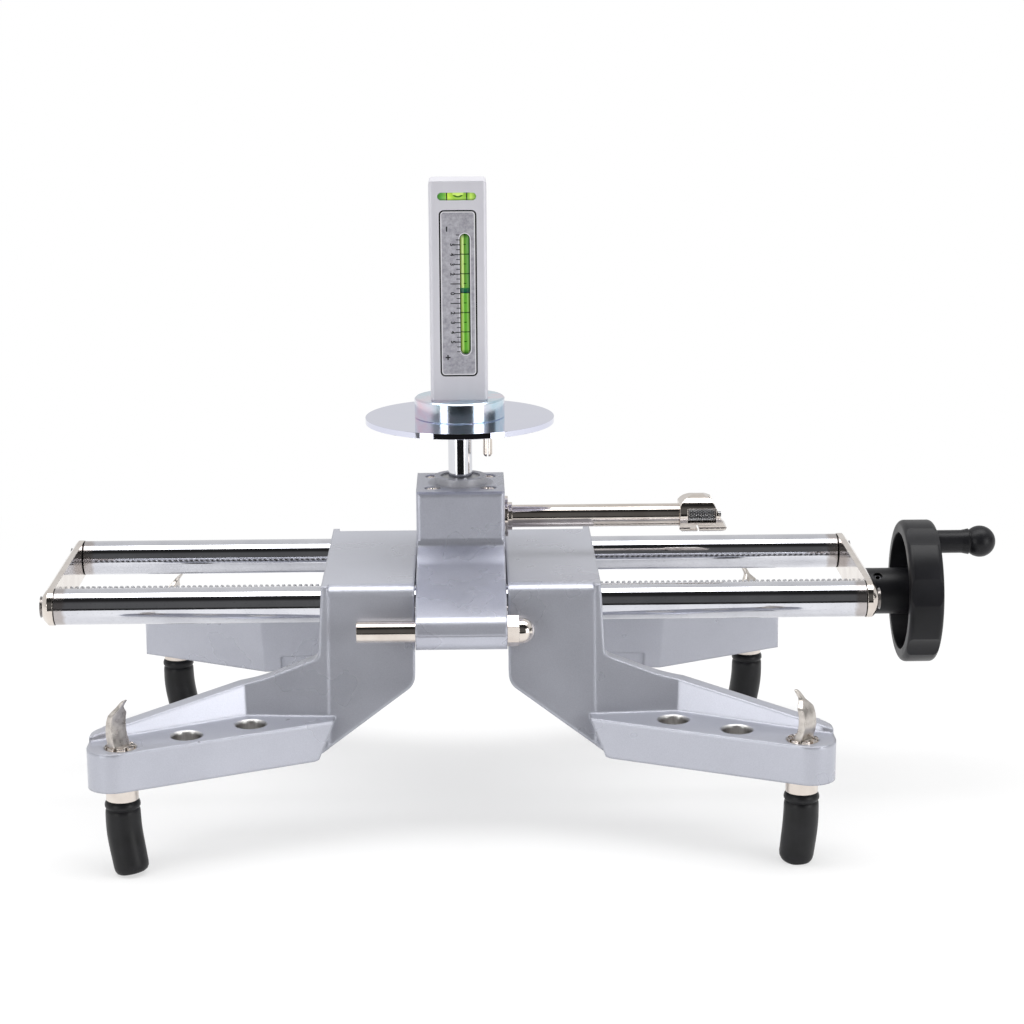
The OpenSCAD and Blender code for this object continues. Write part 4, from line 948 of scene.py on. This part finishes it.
class GAUGE_OT_scale(bpy.types.Operator):
    """Ticks, numbers and signs printed on the scale plate"""

    bl_idname = "gauge.scale"
    bl_label = "Scale"

    def execute(self, context):
        settings = context.scene.gauge_scale
        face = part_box("scale_plate")[0][1] / MM
        proud, sign_size, sign_at, sign_degree = 0.04, 6.5, -8.0, 6.6
        tick_end = SLOT[0] - SLOT_HALF[0] - 0.25
        parts = []
        for half_step in range(-12, 13):
            degree = half_step / 2
            z = ZERO_Z + degree * DEGREE
            whole = half_step % 2 == 0 and abs(degree) < 6
            x0 = settings.long_tick if whole else settings.short_tick
            thick = 0.34 if whole else 0.3
            parts.append(slab((x0, face - proud, z - thick), (tick_end, face + proud, z + thick)))

        def sign(word, size, across, height):
            """A text turned a quarter clockwise: the tops of its figures point along +X."""
            points, faces = text_part(word, size, 2 * proud)
            x, y, z = points.T
            parts.append((np.stack([y + across, z + face, height - x], -1), faces))

        for number in range(-5, 6):
            sign(str(abs(number)), settings.figure, settings.figure_at,
                 ZERO_Z + number * DEGREE)
        sign("\u2212", sign_size, sign_at, ZERO_Z + sign_degree * DEGREE)
        sign("+", sign_size, sign_at, ZERO_Z - sign_degree * DEGREE)
        add_piece("scale_marks", joined(*parts), material(scale_ink), "gauge",
                  smooth=20)
        return {"FINISHED"}


class GAUGE_OT_disc(bpy.types.Operator):
    """Round steel disc under the gauge, with crisp edges"""

    bl_idname = "gauge.disc"
    bl_label = "Disc"

    def execute(self, context):
        low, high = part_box("gauge_disc")
        radius = (high[0] - low[0]) / 2 / MM
        z0, z1 = low[2] / MM, high[2] / MM
        seat, bore, sink, edge, soft = 7.5, 4.0, 3.6, 0.15, 0.05
        profile = [(bore, z0), (radius - edge, z0), (radius - soft, z0 + soft),
                   (radius, z0 + edge), (radius, z1 - edge), (radius - soft, z1 - soft),
                   (radius - edge, z1), (seat, z1), (bore, z1 - sink)]
        add_piece("round_disc", ring(profile, 180), material(mirror_chrome), "spindle",
                  ("gauge_disc",), smooth=20)
        return {"FINISHED"}


# a cap screw: radii of its head, socket and shank and of the pole of each shell, height of
# its head and of its dome, depth of its socket
HEAD_R, SOCKET_R, CAP_SHANK_R, POLE_R = 5.25, 2.3, 2.9, 0.3
HEAD_H, DOME_H, SOCKET_DEPTH = 4.9, 1.5, 2.4


def screw_head_part(low, high):
    """Domed head with a round socket: a profile [radius, height] turned about Z, whose
    dome rises as the sine of a quarter turn while it runs in to the socket."""
    dome = [(HEAD_R - 2.6 * t, high - DOME_H + DOME_H * math.sin(t * math.pi / 2))
            for t in np.linspace(0, 1, 7)]
    socket = [(SOCKET_R + 0.15, high - 0.3), (SOCKET_R, high - SOCKET_DEPTH),
              (POLE_R, high - SOCKET_DEPTH)]
    return lathe([(POLE_R, low), (HEAD_R, low)] + dome + socket, 36)


class GAUGE_OT_screws(bpy.types.Operator):
    """Domed cap screws round the spindle"""

    bl_idname = "gauge.screws"
    bl_label = "Cap screws"

    def execute(self, context):
        low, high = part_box("cartridge_screws")
        half = (high[0] - low[0]) / 2 / MM - HEAD_R
        foot, neck = low[2] / MM, HUB_TOP - HEAD_H
        head = screw_head_part(neck - 0.1, HUB_TOP - 0.1)
        shank = lathe([(POLE_R, foot), (CAP_SHANK_R, foot), (CAP_SHANK_R, neck),
                       (POLE_R, neck)], 24)
        parts = [(points + np.array([sx * half, sy * half, 0]), faces)
                 for sx in (-1, 1) for sy in (-1, 1) for points, faces in (head, shank)]
        add_piece("domed_screws", joined(*parts), material(nickel), "frame",
                  ("cartridge_screws",))
        return {"FINISHED"}


# corner of the clamp as signs of x and y, then the directions of the hook and of the bend,
# in degrees; height of a claw's ring, of the bend and its angle; radius of the shank
FINGERS = {"front_left": (-1, -1, -35, -35), "front_right": (1, -1, 141, 110),
           "rear_left": (-1, 1, -20, -20), "rear_right": (1, 1, 130, 130)}
RING_TOP = 87.7
KNEE_Z = 30.0
FINGER_BEND = math.radians(13)
SHANK_R = 6.5


def at_finger(part, name, which):
    """Turns a part of a finger from its own frame and moves it to its place. which is
    "hook" or "bend", the direction that its own +x then has."""
    sx, sy, hook, bend = FINGERS[name]
    turn = math.radians(hook if which == "hook" else bend)
    c, s = math.cos(turn), math.sin(turn)
    points, faces = part
    x, y, z = points.T
    return np.stack([x * c - y * s + sx * FINGER_AT[0],
                     x * s + y * c + sy * FINGER_AT[1], z], -1), faces


def bent(z, soft=4.0):
    """Sideways run and slope angle of the finger's axis at height z. The slope grows from
    nothing above the knee to the full bend below it, over a length of about soft."""
    t = (KNEE_Z - z) / soft
    return math.tan(FINGER_BEND) * soft * np.log1p(np.exp(t)), FINGER_BEND / (1 + np.exp(-t))


def carried(profile, count):
    """Shell of a profile [radius, height], listed upwards, whose rings stand square to
    the finger's bent axis and are cut flat at the height zero."""
    a = turns(count)
    r, z = np.asarray(profile, float).T[..., None]
    run, slope = bent(z)
    x = r * np.cos(a)
    points = np.stack([x * np.cos(slope) + run, r * np.sin(a) + 0 * z, z + x * np.sin(slope)], -1)
    points[..., 2] = np.maximum(points[..., 2], 0.0)
    return tube(points)


def sleeve_part():
    """Rubber sleeve: a rounded foot, a body that swells as half a sine, and at the top a
    groove under a rolled bead."""
    foot = [(0.5, 0.6), (6.5, 0.6), (8.6, 0.9), (10.2, 1.9), (11.2, 3.6), (11.6, 6.0)]
    body = [(11.6 + 0.22 * math.sin(math.pi * (z - 8) / 34), z) for z in np.linspace(8, 42, 18)]
    groove = [(11.45, 43.6), (11.1, 44.3), (10.75, 44.8), (10.85, 45.3), (11.4, 45.8)]
    bead = [(11.75, 46.4), (11.85, 47.2), (11.75, 48.2), (11.4, 49.3), (10.7, 50.4),
            (10.0, 50.95), (6.6, 51.0)]
    return carried(foot + body + groove + bead, 64)


def rounded_box(half_x, half_y, radius, steps=4):
    """Points round a rectangle with rounded corners, anticlockwise from the corner at
    +x +y. The sizes are columns, one row for each section; the corner arcs have their
    centres one radius inside both sides."""
    quarter = np.arange(steps + 1) * math.pi / 2 / steps
    a = (quarter[None, :] + np.arange(4)[:, None] * math.pi / 2).ravel()
    sx = np.repeat([1, -1, -1, 1], steps + 1)
    sy = np.repeat([1, 1, -1, -1], steps + 1)
    return (sx * (half_x - radius) + radius * np.cos(a),
            sy * (half_y - radius) + radius * np.sin(a))


# height of a claw above its ring, and of the rounding at its nose
CLAW_H = 32.0
NOSE = 1.2
# arcs of the claw's back and of its hollow face, as x, height and radius
CLAW_BACK = (19.8, 10.8, 25.7)
CLAW_FACE = (27.6, 12.4, 28.5)
CLAW_REACH = 7.2


def claw_part():
    """Forged claw: rounded oblong sections from the ring up to the nose. The back and the
    face follow two arcs; the width falls slowly to the shoulders, then steeply to the
    narrow nose, whose end is rounded over."""
    z = np.concatenate([
        np.linspace(-1.5, CLAW_H * 0.6, 14), np.linspace(CLAW_H * 0.64, CLAW_H * 0.88, 12),
        np.linspace(CLAW_H * 0.9, CLAW_H - NOSE, 7),
        CLAW_H - NOSE * (1 - np.sin(np.arange(1, 5) * 0.39))])

    def arc(c, z):
        """Left side of a circle of centre c[0], c[1] and radius c[2], at the heights z."""
        return c[0] - np.sqrt(c[2] ** 2 - (z - c[1]) ** 2)

    held = np.maximum(z, 0)
    back = arc(CLAW_BACK, held)
    face = np.minimum(arc(CLAW_FACE, held), CLAW_REACH)
    shares = np.array([0, 0.655, 0.68, 0.82, 0.85, 1])
    wide = np.interp(z, shares * CLAW_H, [7.8, 7.05, 6.6, 2.25, 1.85, 1.7])
    over = np.sqrt(np.clip(1 - np.clip((z - CLAW_H + NOSE) / (NOSE + 0.05), 0, 1) ** 2, 0.1, 1))
    mid, thick = (back + face) / 2, (face - back) / 2 * (0.35 + 0.65 * over)
    wide = wide * (0.45 + 0.55 * over)
    radius = np.minimum(0.55, 0.45 * np.minimum(thick, wide))
    x, y = rounded_box(thick[:, None], wide[:, None], radius[:, None])
    return tube(np.stack([mid[:, None] + x, y, RING_TOP + z[:, None] + 0 * x], -1))


def shank_part():
    """Round bar from inside the sleeve up through the ring to the claw."""
    heights = np.concatenate([[4.0], np.linspace(6, 44, 20), [60, 75, RING_TOP - 0.6, RING_TOP]])
    radii = np.full(len(heights), SHANK_R - 0.05)
    radii[-1] -= 0.5
    return carried(np.stack([radii, heights], -1), 40)


class GAUGE_OT_fingers(bpy.types.Operator):
    """Rubber sleeves and forged claws of the four fingers"""

    bl_idname = "gauge.fingers"
    bl_label = "Fingers"

    def execute(self, context):
        black = material(rubber)
        plate = material(nickel_forged)
        for name in FINGERS:
            body = "claw_" + name
            add_piece("rubber_sleeve_" + name, at_finger(sleeve_part(), name, "bend"), black,
                      body, ("sleeve_" + name,))
            add_piece("forged_claw_" + name, joined(at_finger(claw_part(), name, "hook"),
                                                    at_finger(shank_part(), name, "bend")),
                      plate, body, ("claw_" + name,), smooth=40)
        return {"FINISHED"}


OPERATORS = (GAUGE_OT_stage, GAUGE_OT_finishes, GAUGE_OT_screw, GAUGE_OT_roller,
             GAUGE_OT_scale, GAUGE_OT_disc, GAUGE_OT_screws, GAUGE_OT_fingers)


class GAUGE_PT_panel(bpy.types.Panel):
    """Lists the steps that dress the clamp"""

    bl_idname = "GAUGE_PT_panel"
    bl_label = "Camber Caster Gauge"
    bl_space_type = "VIEW_3D"
    bl_region_type = "UI"
    bl_category = "Gauge"

    def draw(self, context):
        for operator in OPERATORS:
            self.layout.operator(operator.bl_idname)


CLASSES = (StageSettings, ScrewSettings, ScaleSettings, *OPERATORS, GAUGE_PT_panel)


def register():
    for cls in CLASSES:
        bpy.utils.register_class(cls)
    bpy.types.Scene.gauge_stage = bpy.props.PointerProperty(type=StageSettings)
    bpy.types.Scene.gauge_screw = bpy.props.PointerProperty(type=ScrewSettings)
    bpy.types.Scene.gauge_scale = bpy.props.PointerProperty(type=ScaleSettings)


def unregister():
    del bpy.types.Scene.gauge_stage
    del bpy.types.Scene.gauge_screw
    del bpy.types.Scene.gauge_scale
    for cls in reversed(CLASSES):
        bpy.utils.unregister_class(cls)


def main():
    register()
    for operator in OPERATORS:
        group, name = operator.bl_idname.split(".")
        getattr(getattr(bpy.ops, group), name)()


if __name__ == "__main__":
    main()
